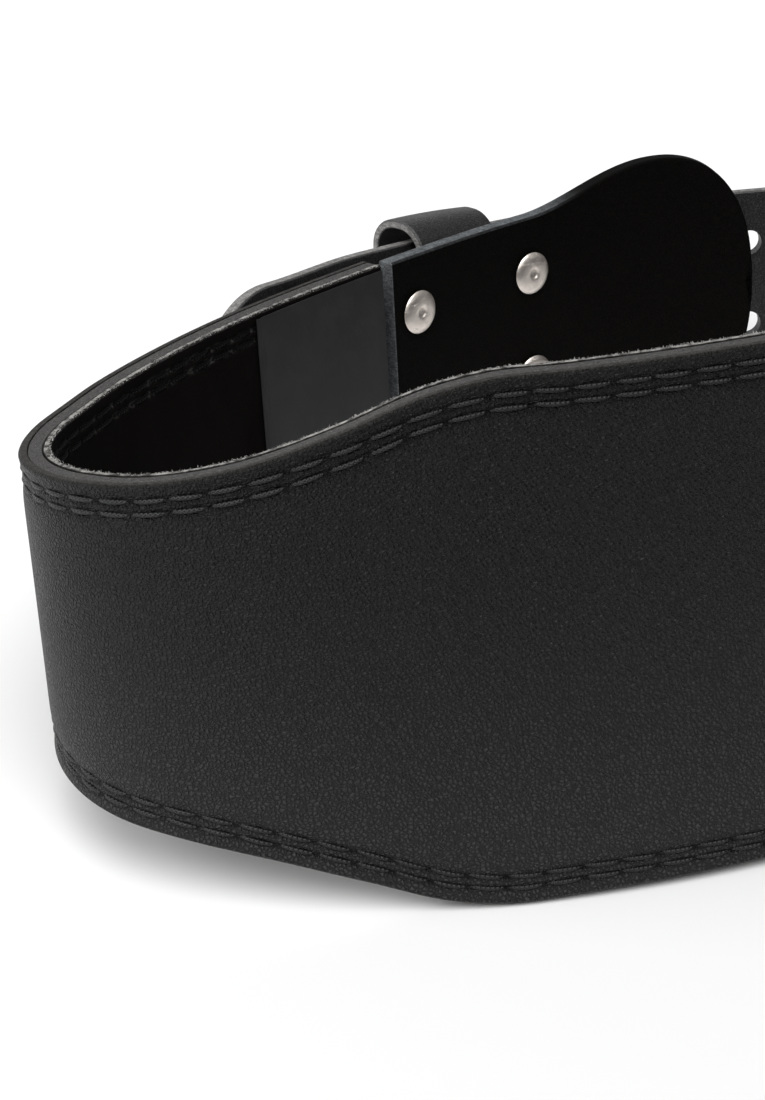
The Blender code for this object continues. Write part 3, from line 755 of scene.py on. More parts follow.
def leather(name, black, cut, grain, roughness, specular, depth, lift, fade=None):
    """Black leather: pebbled grain with fine creases and pores, painted shade in the creases between the
    pebbles and in the seam grooves, painted highlights on small cells, and a grey cut edge, which may fade to
    black between two travels along the piece. The face is lift times paler near the floor, a painted
    reflection of the pale floor."""
    look = Look(name, roughness, specular=specular)
    place = look.place()
    wavy = look.warp(place, 500.0, 0.0006)
    pebble = look.cells(wavy, grain).between(0.0, 0.32)
    small = look.cells(wavy, grain * 2.1, "F1").between(0.1, 0.9)
    broad = look.noise(place, 130.0, 3.0)
    cloud = look.noise(place, 38.0, 4.0, 0.6)
    pores = look.noise(place, grain * 3.0, 2.0)
    cut_edge = look.mark("cut_edge").between(0.15, 0.75)
    streak = look.noise(look.stretch(place, (1.0, 1.0, 3.0)), 700.0, 4.0, 0.7)
    # painted reflection: low rises towards the floor, and the face is painted lift times paler there,
    # standing in for the pale floor's light reflected in the lower face
    low = (1 - look.parts(place)[2].between(0.0, 0.105)) ** 2.0
    # groove is where the seams press the face in; it sets the painted shade below
    groove = 1 - look.mark("pressed").between(-0.72, -0.42)
    face = look.mix(cloud.between(0.3, 0.75), black, [c * 1.35 + 0.001 for c in black])
    face = look.mix(low, face, [c * lift for c in black])
    # painted shade: the grain's creases between the pebbles are painted darker, as the shade that falls in
    # them
    face = look.mix((1 - pebble) * 0.8, face, [c * 0.3 for c in black])
    # painted highlight: small cells of the grain are painted up to nine times paler, as glints on the pebbles
    face = look.mix(small.between(0.55, 0.95) * 0.25, face, [c * 9.0 for c in black])
    # painted shade: the face is painted darker where the seams press it in, as the shade in the grooves
    face = look.mix(groove * 0.85, face, [c * 0.2 for c in black])
    side = look.mix((streak * 0.5 + pores * 0.5).between(0.42, 0.60), [c * 0.35 for c in cut], cut)
    if fade is not None:
        side = look.mix(look.parts(look.along())[0].between(*fade), side, black)
    look.set("Base Color", look.mix(cut_edge, face, side))
    wear = cloud * 0.12 + broad * 0.08 - pebble * 0.05
    look.set("Roughness", (wear + (roughness - 0.08)) * (1 - cut_edge) + cut_edge * 0.75)
    height = pebble * 0.55 + small * 0.2 + pores * 0.15 + broad * 0.25
    look.bump(height * (1 - cut_edge) + streak * cut_edge, depth)
    return look.material


def core_look():
    """Grey bonded core: fine fibres along the cut, darker between clumps, with pale flecks."""
    look = Look("core_fibre", 0.85, specular=0.25)
    place = look.place()
    travel, around, _ = look.parts(look.along())
    fibre = look.noise(look.vector(travel * 900.0, around * 3600.0, 0.0), 1.0, 5.0, 0.75)
    clump = look.noise(place, 420.0, 3.0, 0.6)
    fleck = look.noise(place, 2600.0, 2.0).between(0.62, 0.75)
    tone = look.mix(fibre.between(0.3, 0.72), (0.022, 0.021, 0.021), (0.105, 0.102, 0.100))
    tone = look.mix(clump.between(0.55, 0.8) * 0.5, tone, (0.030, 0.028, 0.027))
    look.set("Base Color", look.mix(fleck * 0.6, tone, (0.30, 0.29, 0.28)))
    look.bump(fibre * 0.6 + clump * 0.5 + fleck * 0.4, 0.00022)
    return look.material


def suede_look():
    """Black suede: matt nap with clouded strokes, pale clumps along the seams, and a pale fuzzy cut edge."""
    look = Look("suede_nap", 0.95, specular=0.04)
    place = look.place()
    nap = look.noise(place, 2400.0, 3.0, 0.7)
    stroke = look.noise(look.stretch(place, (1.0, 1.0, 0.45)), 60.0, 4.0, 0.6)
    cut_edge = look.mark("cut_edge").between(0.2, 0.9)
    clump = look.noise(place, 650.0, 4.0, 0.7)
    face = look.mix(stroke.between(0.3, 0.75), (0.0028, 0.0022, 0.0020), (0.0052, 0.0044, 0.0041))
    face = look.mix(nap.between(0.55, 0.8) * 0.5, face, (0.010, 0.009, 0.0085))
    sewn = look.mark("pressed").between(0.02, 0.30)
    face = look.mix(sewn * clump.between(0.45, 0.66), face, (0.050, 0.049, 0.047))
    side = look.mix(clump.between(0.36, 0.66), (0.045, 0.044, 0.042), (0.36, 0.35, 0.335))
    look.set("Base Color", look.mix(cut_edge, face, side))
    look.bump(nap * 0.5 + stroke * 0.4 + clump * cut_edge, 0.00025)
    return look.material


def satin_look():
    """Woven label: fine satin floats across it, with slight shading where it puckers."""
    look = Look("label_satin", 0.48, specular=0.22)
    travel, around, _ = look.parts(look.along())
    warp = (travel * (2 * math.pi / 0.00022)).sine()
    weft = (around * (2 * math.pi / 0.00028)).sine()
    cloud = look.noise(look.place(), 180.0, 3.0)
    float_line = (warp * 0.5 + 0.5) * (weft * 0.35 + 0.65)
    tone = look.mix(float_line, (0.017, 0.017, 0.018), (0.033, 0.033, 0.035))
    look.set("Base Color", look.mix(cloud.between(0.4, 0.7) * 0.35, tone, (0.038, 0.038, 0.040)))
    look.set("Roughness", cloud * 0.15 + 0.38)
    look.bump(float_line + cloud * 2.0, 0.00008)
    return look.material


def thread_look(name, tone, specular=0.5):
    """Waxed black thread: slanted plies across its length, with painted light on their backs and painted
    shade between them.
    """
    look = Look(name, 0.42, specular=specular)
    along, around, _ = look.parts(look.along())
    ply = (along * (2 * math.pi * 8.0) + around * (2 * math.pi)).sine() * 0.5 + 0.5
    hair = look.noise(look.vector(along * 60.0, around * 9.0, 0.0), 1.0, 3.0, 0.7)
    # painted light and shade: the thread is painted pale on the backs of its plies and nearly black between
    # them
    look.set("Base Color", look.mix(ply * 0.7 + hair * 0.3, [c * 0.12 for c in tone], tone))
    look.set("Roughness", hair * 0.25 + 0.32)
    look.bump(ply + hair * 0.35, 0.00016)
    return look.material


def metal_look(name, tone, roughness, scratch):
    """Plated metal: soft clouding, fine scratches in two directions, dull specks, and darker in the middle of
    a rivet cap's dimple.
    """
    look = Look(name, roughness, 1.0)
    place = look.place()
    cloud = look.noise(place, 320.0, 4.0, 0.6)
    first = look.noise(look.stretch(place, (1.0, 1.0, 16.0)), 420.0, 3.0, 0.7)
    second = look.noise(look.stretch(place, (13.0, 1.0, 1.0)), 420.0, 3.0, 0.7)
    speck = look.noise(place, 2100.0, 3.0, 0.7).between(0.6, 0.72)
    lines = first.between(0.55, 0.7).most(second.between(0.58, 0.72))
    dull = look.mix(cloud.between(0.35, 0.75), tone, [c * 0.86 for c in tone])
    dull = look.mix(lines * 0.06, dull, [c * 0.50 for c in tone])
    # darker where the dimple mark is set, in the middle of a rivet cap's dimple
    dull = look.mix(look.mark("dimple_middle") * 0.45, dull, [c * 0.12 for c in tone])
    look.set("Base Color", look.mix(speck * 0.55, dull, [c * 0.35 for c in tone]))
    look.set("Roughness", cloud * 0.18 + lines * scratch + roughness - 0.06)
    look.bump(lines * 0.5 + cloud * 0.5 + speck * 0.4, 0.00004)
    return look.material


def fuzz_look(name, tone):
    """Loose leather fibres: a pale matt tone that varies from clump to clump."""
    look = Look(name, 0.9, specular=0.2)
    clump = look.noise(look.place(), 900.0, 3.0)
    look.set("Base Color", look.mix(clump.between(0.35, 0.65), [c * 0.5 for c in tone], tone))
    return look.material


# The last number of each leather is how many times paler its face is painted near the floor, a painted
# reflection of the pale floor.
outer_leather = leather(
    "outer_leather_grain", (0.0020, 0.0019, 0.00195), (0.050, 0.046, 0.042), 1250.0, 0.44, 0.20, 0.00062, 18.0
)
strap_leather = leather(
    "strap_leather_grain", (0.0115, 0.0114, 0.0117), (0.260, 0.252, 0.245), 1500.0, 0.44, 0.42, 0.00010, 2.5
)
flap_leather = leather(
    "flap_leather_back", (0.0014, 0.0012, 0.0010), (0.150, 0.160, 0.168), 1700.0, 0.70, 0.05, 0.00009, 2.5,
    (0.046, 0.064),
)
core_fibre = core_look()
suede_nap = suede_look()
label_satin = satin_look()
body_thread = thread_look("waxed_thread", (0.013, 0.013, 0.0133), 0.42)
lining_thread = thread_look("lining_thread", (0.006, 0.006, 0.006), 0.06)
buckle_nickel = metal_look("buckle_nickel", (0.66, 0.65, 0.63), 0.24, 0.14)
rivet_nickel = metal_look("rivet_nickel", (0.97, 0.89, 0.82), 0.36, 0.18)
pale_fuzz = fuzz_look("pale_fuzz", (0.60, 0.59, 0.57))
grey_fuzz = fuzz_look("grey_fuzz", (0.12, 0.12, 0.118))


# The padded body


def hump(away, width):
    """Gaussian of a distance."""
    return np.exp(-(away / width) ** 2)


def edge_inset(station, z):
    """Distance from the body's nearer edge, measured square to it."""
    half = body_half(station)
    slope = np.hypot(1, np.gradient(half[:, 0], station[:, 0]))[:, None]
    return (half - np.abs(z)) / slope


def seam_relief(station, z, rows):
    """Outer face drawn in along the two seams: a broad pull of the rows together, a narrow groove for each,
    and a pit at each needle hole, all Gaussians of the distance from the row. The hide waves a little."""
    outer = (rows[:, 0] == 1) & (rows[:, 4] == 0)
    inset = edge_inset(station, z)
    middle = sum(SEAM_ROWS) / 2
    relief = -SEAM_PULL * hump(inset - middle, 0.0030)
    pit = 0.00016 * np.clip(np.cos(2 * math.pi * station / STITCH), 0, 1) ** 3
    for row in SEAM_ROWS:
        relief = relief - hump(inset - row, 0.00068) * (GROOVE + pit)
    relief = relief + 0.00012 * hump(inset - middle, 0.0006)
    relief = relief + 0.00012 * lump((station, z), 0.018, 3) * smoothstep((inset - 0.008) / 0.01)
    relief = relief + 0.00005 * lump((station, z), 0.005, 4)
    return relief * outer


def lining_relief(station, z, rows):
    """Inner face drawn in along the same seams."""
    inner = (rows[:, 0] == 0) & (rows[:, 4] == 0)
    inset = edge_inset(station, z)
    relief = 0.00010 * lump((station, z), 0.012, 7)
    for row in SEAM_ROWS:
        relief = relief + LINING_PULL * hump(inset - row, 0.0007)
    rough = 0.00012 * lump((station, 40 * rows[:, 1] + 0 * z), 0.0011, 9) * (rows[:, 4] > 0)
    return relief * inner + rough


def core_relief(station, z, rows):
    """Cut edge of the core, a little rough."""
    return 0.00006 * lump((station, 60 * rows[:, 0] * CORE_THICK + 0 * z), 0.0012, 11) * (rows[:, 4] > 0)


body_run = even(END_B - LOOP_LENGTH, END_A, step=0.0013)
body_line, body_normal = wall(body_run)
half = body_half(body_run)
outer_rows = outline("outer")
core_rows = outline("core")
suede_rows = outline("suede")

skin = sweep(
    "outer_leather_skin", body_line, body_normal, -OUTER_THICK, OUTER_THICK, -half, half,
    outer_rows, outer_leather, body_run, seam_relief,
)
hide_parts("outer_leather")

core_near = -OUTER_THICK - PLY_GAP - CORE_THICK
core = sweep(
    "core_fibre_ply", body_line, body_normal, core_near - CORE_SHIFT, CORE_THICK + CORE_SWELL,
    CORE_INSET - half, half - CORE_INSET, core_rows, core_fibre, body_run, core_relief,
)
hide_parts("core_ply")

lining = sweep(
    "suede_lining_nap", body_line, body_normal, -BODY_THICK, LINING_THICK, -half, half,
    suede_rows, suede_nap, body_run, lining_relief,
)
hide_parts("suede_lining")


outer_runs, lining_runs = [], []
for upper in (False, True):
    for inset in SEAM_ROWS:
        row = edge_row(body_half, inset, upper, END_B - LOOP_LENGTH + SEAM_END, END_A - SEAM_END)
        outer_runs.append((*row, -GROOVE - SEAM_PULL, 1))
        lining_runs.append((*row, LINING_PULL - BODY_THICK, -1))
stitches("outer_seam_thread", outer_runs, body_thread, seed=21)
stitches("lining_seam_thread", lining_runs, lining_thread, seed=22)


def rim_roots(distance_low, distance_high, upper_share=0.75):
    """Function that draws fibre roots on the body's upper and lower rims, between two distances."""

    def root(draw, count):
        station = draw.uniform(END_B - LOOP_LENGTH + 0.001, END_A - 0.001, count)
        side = np.where(draw.uniform(0, 1, count) < upper_share, 1.0, -1.0)
        line, normal = wall(station)
        distance = draw.uniform(distance_low, distance_high, count)
        points = stood(line + normal * distance[:, None], side * (body_half(station) - 0.0001))
        across = np.concatenate([normal, np.zeros((count, 1))], axis=1) @ LEAN.T
        up = side[:, None] * (np.array([[0.0, 0.0, 1.0]]) @ LEAN.T)
        return points, across, up

    return root


lining_roots = rim_roots(-BODY_THICK, -BODY_THICK + 0.0009)
core_roots = rim_roots(core_near, -OUTER_THICK)
fibres("lining_edge_fuzz", 5600, lining_roots, reach=0.00038, look=pale_fuzz)
fibres("core_edge_fuzz", 1500, core_roots, reach=0.00045, look=grey_fuzz, seed=6)

# The label on the lining

label_start = END_A - LABEL_LENGTH
label_run = even(label_start, END_A - LABEL_END_GAP, step=0.0006, ends=0.0002)
label_line, label_normal = wall(label_run)
label_edge = body_half(label_run) - LABEL_EDGE_GAP


def label_relief(station, z, _rows):
    """The ribbon's folded end stands up as a small roll, and the ribbon puckers slightly."""
    roll = -0.00028 * hump(station - label_start - 0.0009, 0.0006)
    return roll - 0.00010 * (lump((station, z), 0.006, 13) + 1)


label = sweep(
    "label_ribbon", label_line, label_normal, -BODY_THICK - RIBBON_STAND, RIBBON_THICK, -label_edge,
    label_edge, outline("label"), label_satin, label_run, label_relief, end_round=0.0001,
)
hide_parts("inner_label")
label_height = float(2 * label_edge.mean())

# The flap behind the buckle

flap_peak = (BAR_STATION + ROLLER_STATION) / 2
flap_tip = flap_peak + (FLAP_END - flap_peak) * np.sin(np.radians(np.linspace(0, 88.5, 44)))
flap_run = np.concatenate([even(FLAP_START, flap_peak, step=0.0012)[:-4], flap_tip])
flap_line, flap_normal = wall(flap_run)
flap_edge = flap_half(flap_run)


def flap_relief(station, z, rows):
    """The flap waves gently and is dented round its rivets."""
    wave = 0.00016 * lump((station, z), 0.02, 15)
    for rivet in (RIVETS_FIRST, RIVETS_SECOND):
        for side in (-1, 1):
            away = np.hypot(station - rivet, z - side * RIVET_ROWS / 2)
            wave = wave + np.where(rows[:, 0] > 0.5, -1, 1) * 0.00022 * np.exp(-(away / 0.0062) ** 4)
    return wave * (rows[:, 4] < 0.5)


flap = sweep(
    "buckle_flap_leather", flap_line, flap_normal, -FLAP_THICK, FLAP_THICK, -flap_edge, flap_edge,
    outline("flap"), flap_leather, flap_run, flap_relief, end_round=0.0004,
)
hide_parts("buckle_flap")


def holed(piece, tools):
    """The piece with the tools' shapes taken out of it, as a plain mesh again."""
    for tool in tools:
        cut = piece.modifiers.new("cut", "BOOLEAN")
        cut.operation = "DIFFERENCE"
        cut.solver = "EXACT"
        cut.object = tool
    bpy.context.view_layer.update()
    seen = bpy.context.evaluated_depsgraph_get()
    mesh = bpy.data.meshes.new_from_object(piece.evaluated_get(seen), depsgraph=seen)
    piece.modifiers.clear()
    piece.data = mesh
    mesh.shade_smooth()
    mesh.set_sharp_from_angle(angle=math.radians(38))
    for tool in tools:
        bpy.data.objects.remove(tool)
    return piece


def cutter(points, faces):
    """A passing object for a cut."""
    return put("cutter", mesh_of("cutter", points, faces))


# The chape, folded round the bar

bar, bar_outward = wall(np.array(BAR_STATION))
bar = bar + bar_outward * BAR_DISTANCE
roller, roller_outward = wall(np.array(ROLLER_STATION))
roller = roller + roller_outward * ROLLER_DISTANCE
reach = float(np.linalg.norm(roller - bar))
buckle_place = facing(bar, 0.0, roller - bar)

chape_levels = (
    (CHAPE_END, FIT_GAP),
    (END_A - CHAPE_CLIMB, FIT_GAP),
    (RIVETS_FIRST - 0.65 * RIVET_HEAD, CHAPE_RAISED),
    (RIVETS_SECOND + 0.75 * RIVET_HEAD, CHAPE_RAISED),
    (BAR_STATION, BAR_DISTANCE + FOLD_RADIUS - CHAPE_THICK / 2),
)
out_run = np.linspace(CHAPE_END, BAR_STATION, 100)
out_line, out_normal = laid(chape_levels, out_run, CHAPE_THICK)
fold_turn = np.linspace(0, math.pi, 26)[1:-1]
bar_along = np.array([bar_outward[1], -bar_outward[0]])
fold_aim = np.cos(fold_turn)[:, None] * bar_outward + np.sin(fold_turn)[:, None] * bar_along
fold_line = bar + FOLD_RADIUS * fold_aim
back_run = np.linspace(BAR_STATION, RIVETS_SECOND - 0.52 * RIVET_HEAD, 26)
back_levels = (
    (RIVETS_SECOND + 0.75 * RIVET_HEAD, FIT_GAP),
    (BAR_STATION, BAR_DISTANCE - FOLD_RADIUS - CHAPE_THICK / 2),
)
back_line, _ = laid(back_levels, back_run, CHAPE_THICK)
chape_line = np.concatenate([out_line, fold_line, back_line])
chape_normal = turned_normals(chape_line, out_normal[0])
chape_edge = np.full(len(chape_line), CHAPE_WIDTH / 2)
chape_rows = outline("chape")
chape = sweep(
    "buckle_chape_leather", chape_line, chape_normal, -CHAPE_THICK / 2, CHAPE_THICK, -chape_edge, chape_edge,
    chape_rows, strap_leather,
)

# The billet, over the rivets and the bar and down under the roller

over_bar = BAR_STATION + BILLET_PAST_BAR
billet_over_chape = 2 * FIT_GAP + CHAPE_THICK
billet_over_rivets = CHAPE_RAISED + CHAPE_THICK + RIVET_HEAD_HEIGHT + 2 * FIT_GAP
billet_over_bar = BAR_DISTANCE + EYE_RADIUS + PRONG_WIRE / 2 + 3 * FIT_GAP
billet_levels = (
    (BILLET_END, FIT_GAP),
    (CHAPE_END - 4 * FIT_GAP, billet_over_chape),
    (RIVETS_FIRST - 0.65 * RIVET_HEAD, billet_over_rivets),
    (RIVETS_SECOND + 0.75 * RIVET_HEAD, billet_over_rivets),
    (BAR_STATION - BILLET_BEFORE_BAR, billet_over_bar),
    (over_bar, billet_over_bar),
    (over_bar + BILLET_RAMP, FIT_GAP),
    (BILLET_ROOT, FIT_GAP),
)
billet_tip = BILLET_END + BILLET_TIP * (1 - np.sin(np.radians(np.linspace(88.5, 0, 40))))
billet_run = np.concatenate([billet_tip, even(BILLET_END + BILLET_TIP, BILLET_ROOT, step=0.0011)[4:]])
billet_line, billet_out = laid(billet_levels, billet_run, BILLET_THICK)
billet_normal = turned_normals(billet_line, billet_out[0])
billet_low = billet_middle(billet_run) - billet_half(billet_run)
billet_high = billet_middle(billet_run) + billet_half(billet_run)
billet_rows = outline("billet")
billet = sweep(
    "billet_strap_leather", billet_line, billet_normal, -BILLET_THICK / 2, BILLET_THICK, billet_low,
    billet_high, billet_rows, strap_leather,
)

# The buckle's wire, its roller and its two prongs

corner_turn = np.linspace(0, math.pi / 2, 14)
half_frame = (BUCKLE_INSIDE + BUCKLE_WIRE) / 2
frame_points = []
for x, y, first in (
    (reach - BUCKLE_CORNER, half_frame - BUCKLE_CORNER, 0),
    (BUCKLE_CORNER, half_frame - BUCKLE_CORNER, math.pi / 2),
    (BUCKLE_CORNER, BUCKLE_CORNER - half_frame, math.pi),
    (reach - BUCKLE_CORNER, BUCKLE_CORNER - half_frame, 3 * math.pi / 2),
):
    turns = first + corner_turn
    frame_points += [(x + BUCKLE_CORNER * math.cos(a), y + BUCKLE_CORNER * math.sin(a), 0) for a in turns]
buckle_seat = buckle_place.copy()
buckle_seat[:3, 3] += billet_middle(BAR_STATION) * LEAN[:, 2]
wire_points = placed(frame_points, buckle_seat)
wire = tube("buckle_frame_wire", wire_points, BUCKLE_WIRE, 24, buckle_nickel, closed=True)
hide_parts("buckle_frame")

roller_half = BUCKLE_INSIDE / 2 - ROLLER_END_GAP
roller_inside = BUCKLE_WIRE / 2 + FIT_GAP
roller_outside = ROLLER_WIDTH / 2
lip = ROLLER_LIP
roller_profile = np.array((
    (roller_inside, -roller_half + lip),
    (roller_inside + lip, -roller_half),
    (roller_outside - lip, -roller_half),
    (roller_outside - 0.3 * lip, -roller_half + 0.3 * lip),
    (roller_outside, -roller_half + lip),
    (roller_outside, roller_half - lip),
    (roller_outside - 0.3 * lip, roller_half - 0.3 * lip),
    (roller_outside - lip, roller_half),
    (roller_inside + lip, roller_half),
    (roller_inside, roller_half - lip),
))
upright = np.array(((1, 0, 0, reach), (0, 0, 1, 0), (0, -1, 0, 0), (0, 0, 0, 1.0)))
roller_points = turned(roller_profile, 36, buckle_seat @ upright)
roller_faces = grid_faces(*roller_points.shape[:2], caps=False, closed=True)
roller_piece = add_mesh("buckle_roller_tube", roller_points, roller_faces, buckle_nickel)
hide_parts("buckle_roller")

rest_point = np.array([reach, ROLLER_WIDTH / 2 + FIT_GAP + PRONG_WIRE / 2])
rest_reach = np.linalg.norm(rest_point)
leave = math.atan2(rest_point[1], rest_point[0]) + math.acos(EYE_RADIUS / rest_reach)
eye_turn = np.linspace(leave + math.radians(250), leave, 40)
eye = np.stack([EYE_RADIUS * np.cos(eye_turn), EYE_RADIUS * np.sin(eye_turn)], axis=1)
prong_aim = (rest_point - eye[-1]) / np.linalg.norm(rest_point - eye[-1])
prong_tip = rest_point + prong_aim * PRONG_PAST_ROLLER
rod = eye[-1] + (prong_tip - eye[-1]) * np.linspace(0, 1, 24)[1:, None]
prong_line = np.concatenate([eye, rod])
prong_taper = np.concatenate([np.full(len(prong_line) - 6, 1.0), (0.97, 0.92, 0.82, 0.66, 0.42, 0.10)])
prong_middle = billet_middle(BAR_STATION + (ROLLER_STATION - BAR_STATION) / 3)
prong_heights = {"lower": prong_middle - HOLE_ROWS / 2, "upper": prong_middle + HOLE_ROWS / 2}
slots = []
for row, height in prong_heights.items():
    local = np.stack([prong_line[:, 0], 0 * prong_line[:, 0], prong_line[:, 1]], axis=1)
    points = placed(local, buckle_place) + height * LEAN[:, 2]
    prong = tube(f"prong_{row}_wire", points, PRONG_WIRE * prong_taper, 18, buckle_nickel)
    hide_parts(f"prong_{row}")
    wide = EYE_RADIUS + PRONG_WIRE / 2 + PRONG_ROOM
    tall = PRONG_WIRE / 2 + PRONG_ROOM
    box = [(x * wide, y * tall, z * 2 * wide) for x in (-1, 1) for y in (-1, 1) for z in (-1, 1)]
    box_faces = [(0, 1, 3, 2), (4, 6, 7, 5), (0, 4, 5, 1), (2, 3, 7, 6), (0, 2, 6, 4), (1, 5, 7, 3)]
    slots.append(cutter(placed(box, buckle_place) + height * LEAN[:, 2], box_faces))
chape = holed(chape, slots)
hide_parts("buckle_chape")

# The billet's holes, one pair of them on the prongs

billet_travel = travelled(billet_line)
level_bar = np.array([bar[0], bar[1]])
aim_plan = (roller - bar) / reach
side_plan = np.array([-aim_plan[1], aim_plan[0]])
rod_start = level_bar + aim_plan * eye[-1][0] + side_plan * eye[-1][1]
rod_end = level_bar + aim_plan * rest_point[0] + side_plan * rest_point[1]
rod_along = rod_end - rod_start
off = (billet_line - rod_start) @ np.array([-rod_along[1], rod_along[0]])
last = int(np.nonzero((off[:-1] > 0) != (off[1:] > 0))[0][-1])
share = off[last] / (off[last] - off[last + 1])
tongue = billet_travel[last] + share * (billet_travel[last + 1] - billet_travel[last])
hole_stations = (BILLET_END + 1.4 * BILLET_TIP, END_B - HOLE_WIDTH / 2)
first_hole, last_hole = np.interp(hole_stations, billet_run, billet_travel)
before = int((tongue - first_hole) // HOLE_PITCH)
after = int((last_hole - tongue) // HOLE_PITCH)
peg_sides = 32
peg_profile = ((HOLE_WIDTH / 2, -HOLE_REACH), (HOLE_WIDTH / 2, HOLE_REACH))
pegs = []
for column in tongue + HOLE_PITCH * np.arange(-before, after + 1):
    spot, ahead = plan_at(np.array([column, column + 0.0015]), billet_travel, billet_line)
    station = float(np.interp(column, billet_travel, billet_run))
    for side in (-1, 1):
        place = facing(spot, billet_middle(station) + side * HOLE_ROWS / 2, ahead - spot)
        pegs.append(cutter(turned(peg_profile, peg_sides, place), grid_faces(2, peg_sides)))
billet = holed(billet, pegs)
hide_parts("billet_strap")

# The keeper, a band of leather round the chape and the billet

keeper_turn = (np.arange(96) + 0.5) * 2 * math.pi / 96
around = np.stack([np.cos(keeper_turn), np.sin(keeper_turn)], axis=1)
keeper_half = np.array([KEEPER_DEPTH, KEEPER_HEIGHT]) / 2
keeper_path = np.array([FIT_GAP + KEEPER_DEPTH / 2, 0]) + (keeper_half - KEEPER_CORNER) * np.sign(around)
keeper_path = keeper_path + (KEEPER_CORNER - KEEPER_THICK) * around
closed_path = np.concatenate([keeper_path, keeper_path[:1]])
closed_turn = np.unwrap(np.concatenate([keeper_turn, keeper_turn[:1] + 2 * math.pi]))
path_at = travelled(closed_path)
path_even = np.linspace(0, path_at[-1], 150, endpoint=False)
keeper_path = plan_at(path_even, path_at, closed_path)
keeper_turn = np.interp(path_even, path_at, closed_turn)
keeper_out = np.stack([np.cos(keeper_turn), np.sin(keeper_turn)], axis=1)
band_rows = outline("keeper")
share_in, across, share_up, up, cut = band_rows.T
lift_in = share_in * KEEPER_THICK + across
band_station = KEEPER_MIDDLE + (share_up - 0.5) * KEEPER_LENGTH + up
crown = KEEPER_CROWN * (1 - ((band_station - KEEPER_MIDDLE) / (KEEPER_LENGTH / 2)) ** 2)
ring_d = keeper_path[:, :1] + keeper_out[:, :1] * (lift_in + crown)[None]
ring_z = keeper_path[:, 1:] + keeper_out[:, 1:] * (lift_in + crown)[None]
ring_z = ring_z - KEEPER_DROP * (band_station - KEEPER_MIDDLE) / KEEPER_LENGTH
line, normal = wall(band_station)
keeper_points = stood(line[None] + normal[None] * ring_d[..., None], ring_z)
keeper_uv = np.stack(np.broadcast_arrays(path_even[:, None], (band_station + lift_in)[None]), axis=-1)
keeper = add_mesh(
    "keeper_loop_leather", keeper_points, grid_faces(*ring_z.shape, closed=True), strap_leather,
    keeper_uv, {"cut_edge": cut[None] + 0 * ring_z},
)
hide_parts("keeper_loop")

# Rivets: domed caps with a dimple inside, plain domes outside

rise = RIVET_HEAD_HEIGHT
cap = RIVET_HEAD / 2
shank = 0.0024


def rivet_profile(grip):
    """Radii and heights of a rivet: dimpled inner cap below 0, shank, and outer dome above the grip."""
    inner = [
        (0.02, 0.50), (0.10, 0.50), (0.17, 0.56), (0.21, 0.72), (0.25, 0.93), (0.31, 1.00), (0.42, 1.00),
        (0.56, 0.95), (0.70, 0.84), (0.82, 0.68), (0.91, 0.48), (0.97, 0.26), (1.00, 0.08),
    ]
    outer = [
        (1.00, 0.08), (0.97, 0.28), (0.90, 0.52), (0.78, 0.74), (0.60, 0.90), (0.40, 0.98), (0.20, 1.00),
        (0.02, 1.00),
    ]
    points = [(r * cap, -h * rise) for r, h in inner]
    points += [(0.96 * cap, 0.0), (shank, 0.0), (shank, grip), (0.96 * cap, grip)]
    return points + [(r * cap, grip + h * rise) for r, h in outer]


def rivet(name, station, near, height, grip):
    """One rivet in the wall at a station."""
    point, outward = wall(np.array(station))
    place = facing(point + outward * near, height, (outward[1], -outward[0]))
    points = turned(rivet_profile(grip), 44, place)
    # the middle rows of the cap's dimple are marked to be drawn darker
    dimple_middle = np.zeros(points.shape[:2])
    dimple_middle[:5] = np.array((1.0, 1.0, 0.9, 0.45, 0.1))[:, None]
    marks = {"dimple_middle": dimple_middle}
    made = add_mesh(f"{name}_cap", points, grid_faces(*points.shape[:2]), rivet_nickel, marks=marks, sharp=50)
    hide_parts(name)


for column in (0, 1):
    for row, side in (("lower", -1), ("upper", 1)):
        height = side * RIVET_ROWS / 2
        grip = FLAP_THICK + CHAPE_RAISED + CHAPE_THICK + 2 * FIT_GAP
        station = (RIVETS_FIRST, RIVETS_SECOND)[column]
        rivet(f"rivet_flap_{row}_{column + 1}", station, -FLAP_THICK - FIT_GAP, height, grip)
        grip = BODY_THICK + BILLET_THICK + 3 * FIT_GAP
        station = RIVETS_BILLET[column]
        near = -BODY_THICK - FIT_GAP
        rivet(f"rivet_billet_{row}_{column + 1}", station, near, billet_middle(END_B) + height, grip)

# Floor, light and camera


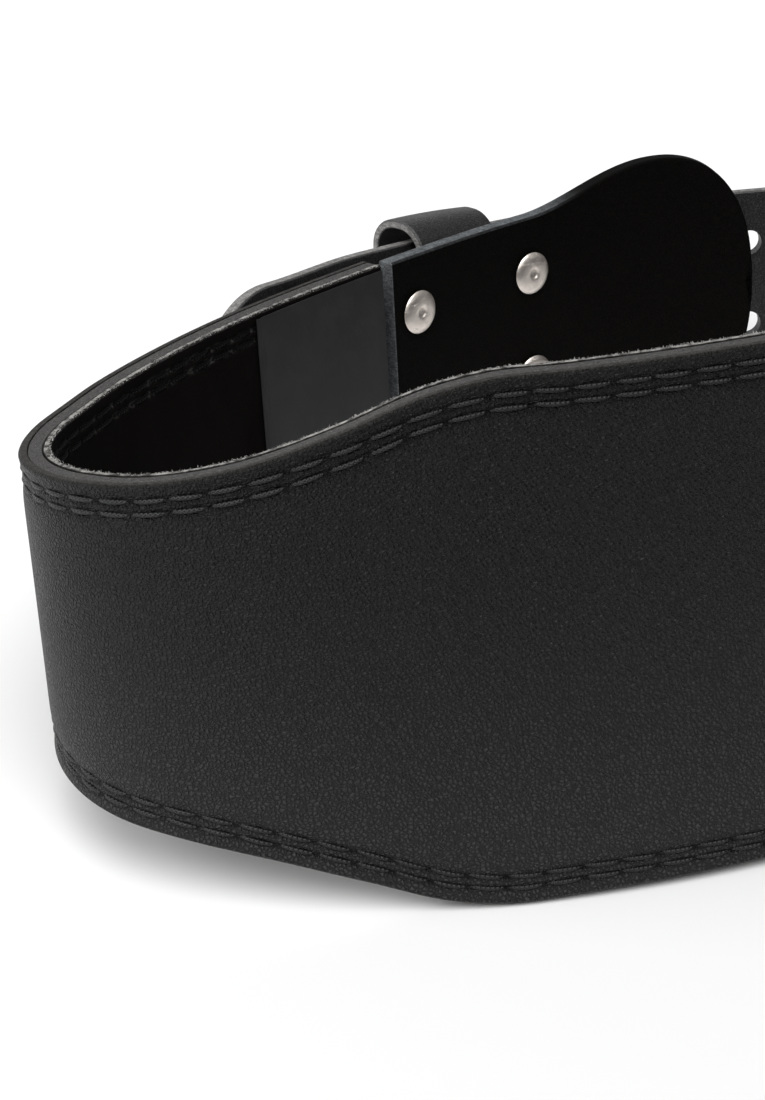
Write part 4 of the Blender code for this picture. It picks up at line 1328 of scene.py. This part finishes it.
def floor_look():
    """Pale floor with the faintest mottling, and painted shade well in front of the belt, where it is greyer.
    """
    look = Look("pale_floor", 0.9, specular=0.1)
    cloud = look.noise(look.place(), 3.0, 2.0)
    x, y, _ = look.parts(look.place())
    # painted shade: the floor well in front of the belt is painted grey, standing in for the light falling
    # off there
    ahead = (x * -0.52 + y * -0.85).between(0.19, 0.50)
    pale = look.mix(cloud, (0.85, 0.85, 0.85), (0.87, 0.87, 0.87))
    look.set("Base Color", look.mix(ahead, pale, (0.36, 0.36, 0.36)))
    return look.material


floor_corners = ((-1, -1), (1, -1), (1, 1), (-1, 1))
floor_points = [(x * FLOOR_HALF, y * FLOOR_HALF, FLOOR_LEVEL) for x, y in floor_corners]
floor_mesh = mesh_of("floor", floor_points, [(0, 1, 2, 3)])
floor_mesh.materials.append(floor_look())
floor = put("floor", floor_mesh)

world = bpy.data.worlds.new("studio")
world.use_nodes = True
world.node_tree.nodes["Background"].inputs["Color"].default_value = (1.0, 1.0, 1.0, 1.0)
world.node_tree.nodes["Background"].inputs["Strength"].default_value = STUDIO_LIGHT
bpy.context.scene.world = world
bpy.context.scene.view_settings.view_transform = "Standard"


def light(name, kind, place, aim, power, **settings):
    """Light of a kind, turned from its place towards a point."""
    data = bpy.data.lights.new(name, kind)
    data.energy = power
    for setting, value in settings.items():
        setattr(data, setting, value)
    back = unit(np.array(place) - np.array(aim))
    side = unit(np.cross((0.0, 0.0, 1.0), back))
    turn = Matrix(np.stack([side, np.cross(back, side), back], axis=1).tolist()).to_4x4()
    put(name, data).matrix_world = Matrix.Translation(place) @ turn


def softbox(name, place, aim, power, width, height):
    """Rectangular soft light."""
    light(name, "AREA", place, aim, power, shape="RECTANGLE", size=width, size_y=height)


light("front_key", "SUN", (0.0, 0.0, 0.0), (0.30, 0.62, -1.35), 2.6, angle=math.radians(46.0))
softbox("left_light", (-1.2, 0.35, 0.55), (-0.1, 0.0, 0.05), 9.5, 0.9, 0.8)
softbox("back_light", (0.4, 1.3, 0.9), (0.0, 0.0, 0.05), 5.0, 1.2, 0.7)

camera_data = bpy.data.cameras.new("camera")
camera_data.sensor_fit = "AUTO"
camera_data.sensor_width = CAMERA_SENSOR
camera_data.lens = CAMERA_LENS
camera_data.clip_start = 0.01
camera = put("camera", camera_data)
turn = Matrix([list(row) for row in np.array(CAMERA_AXES).T]).to_4x4()
camera.matrix_world = Matrix.Translation(CAMERA_PLACE) @ turn
bpy.context.scene.camera = camera
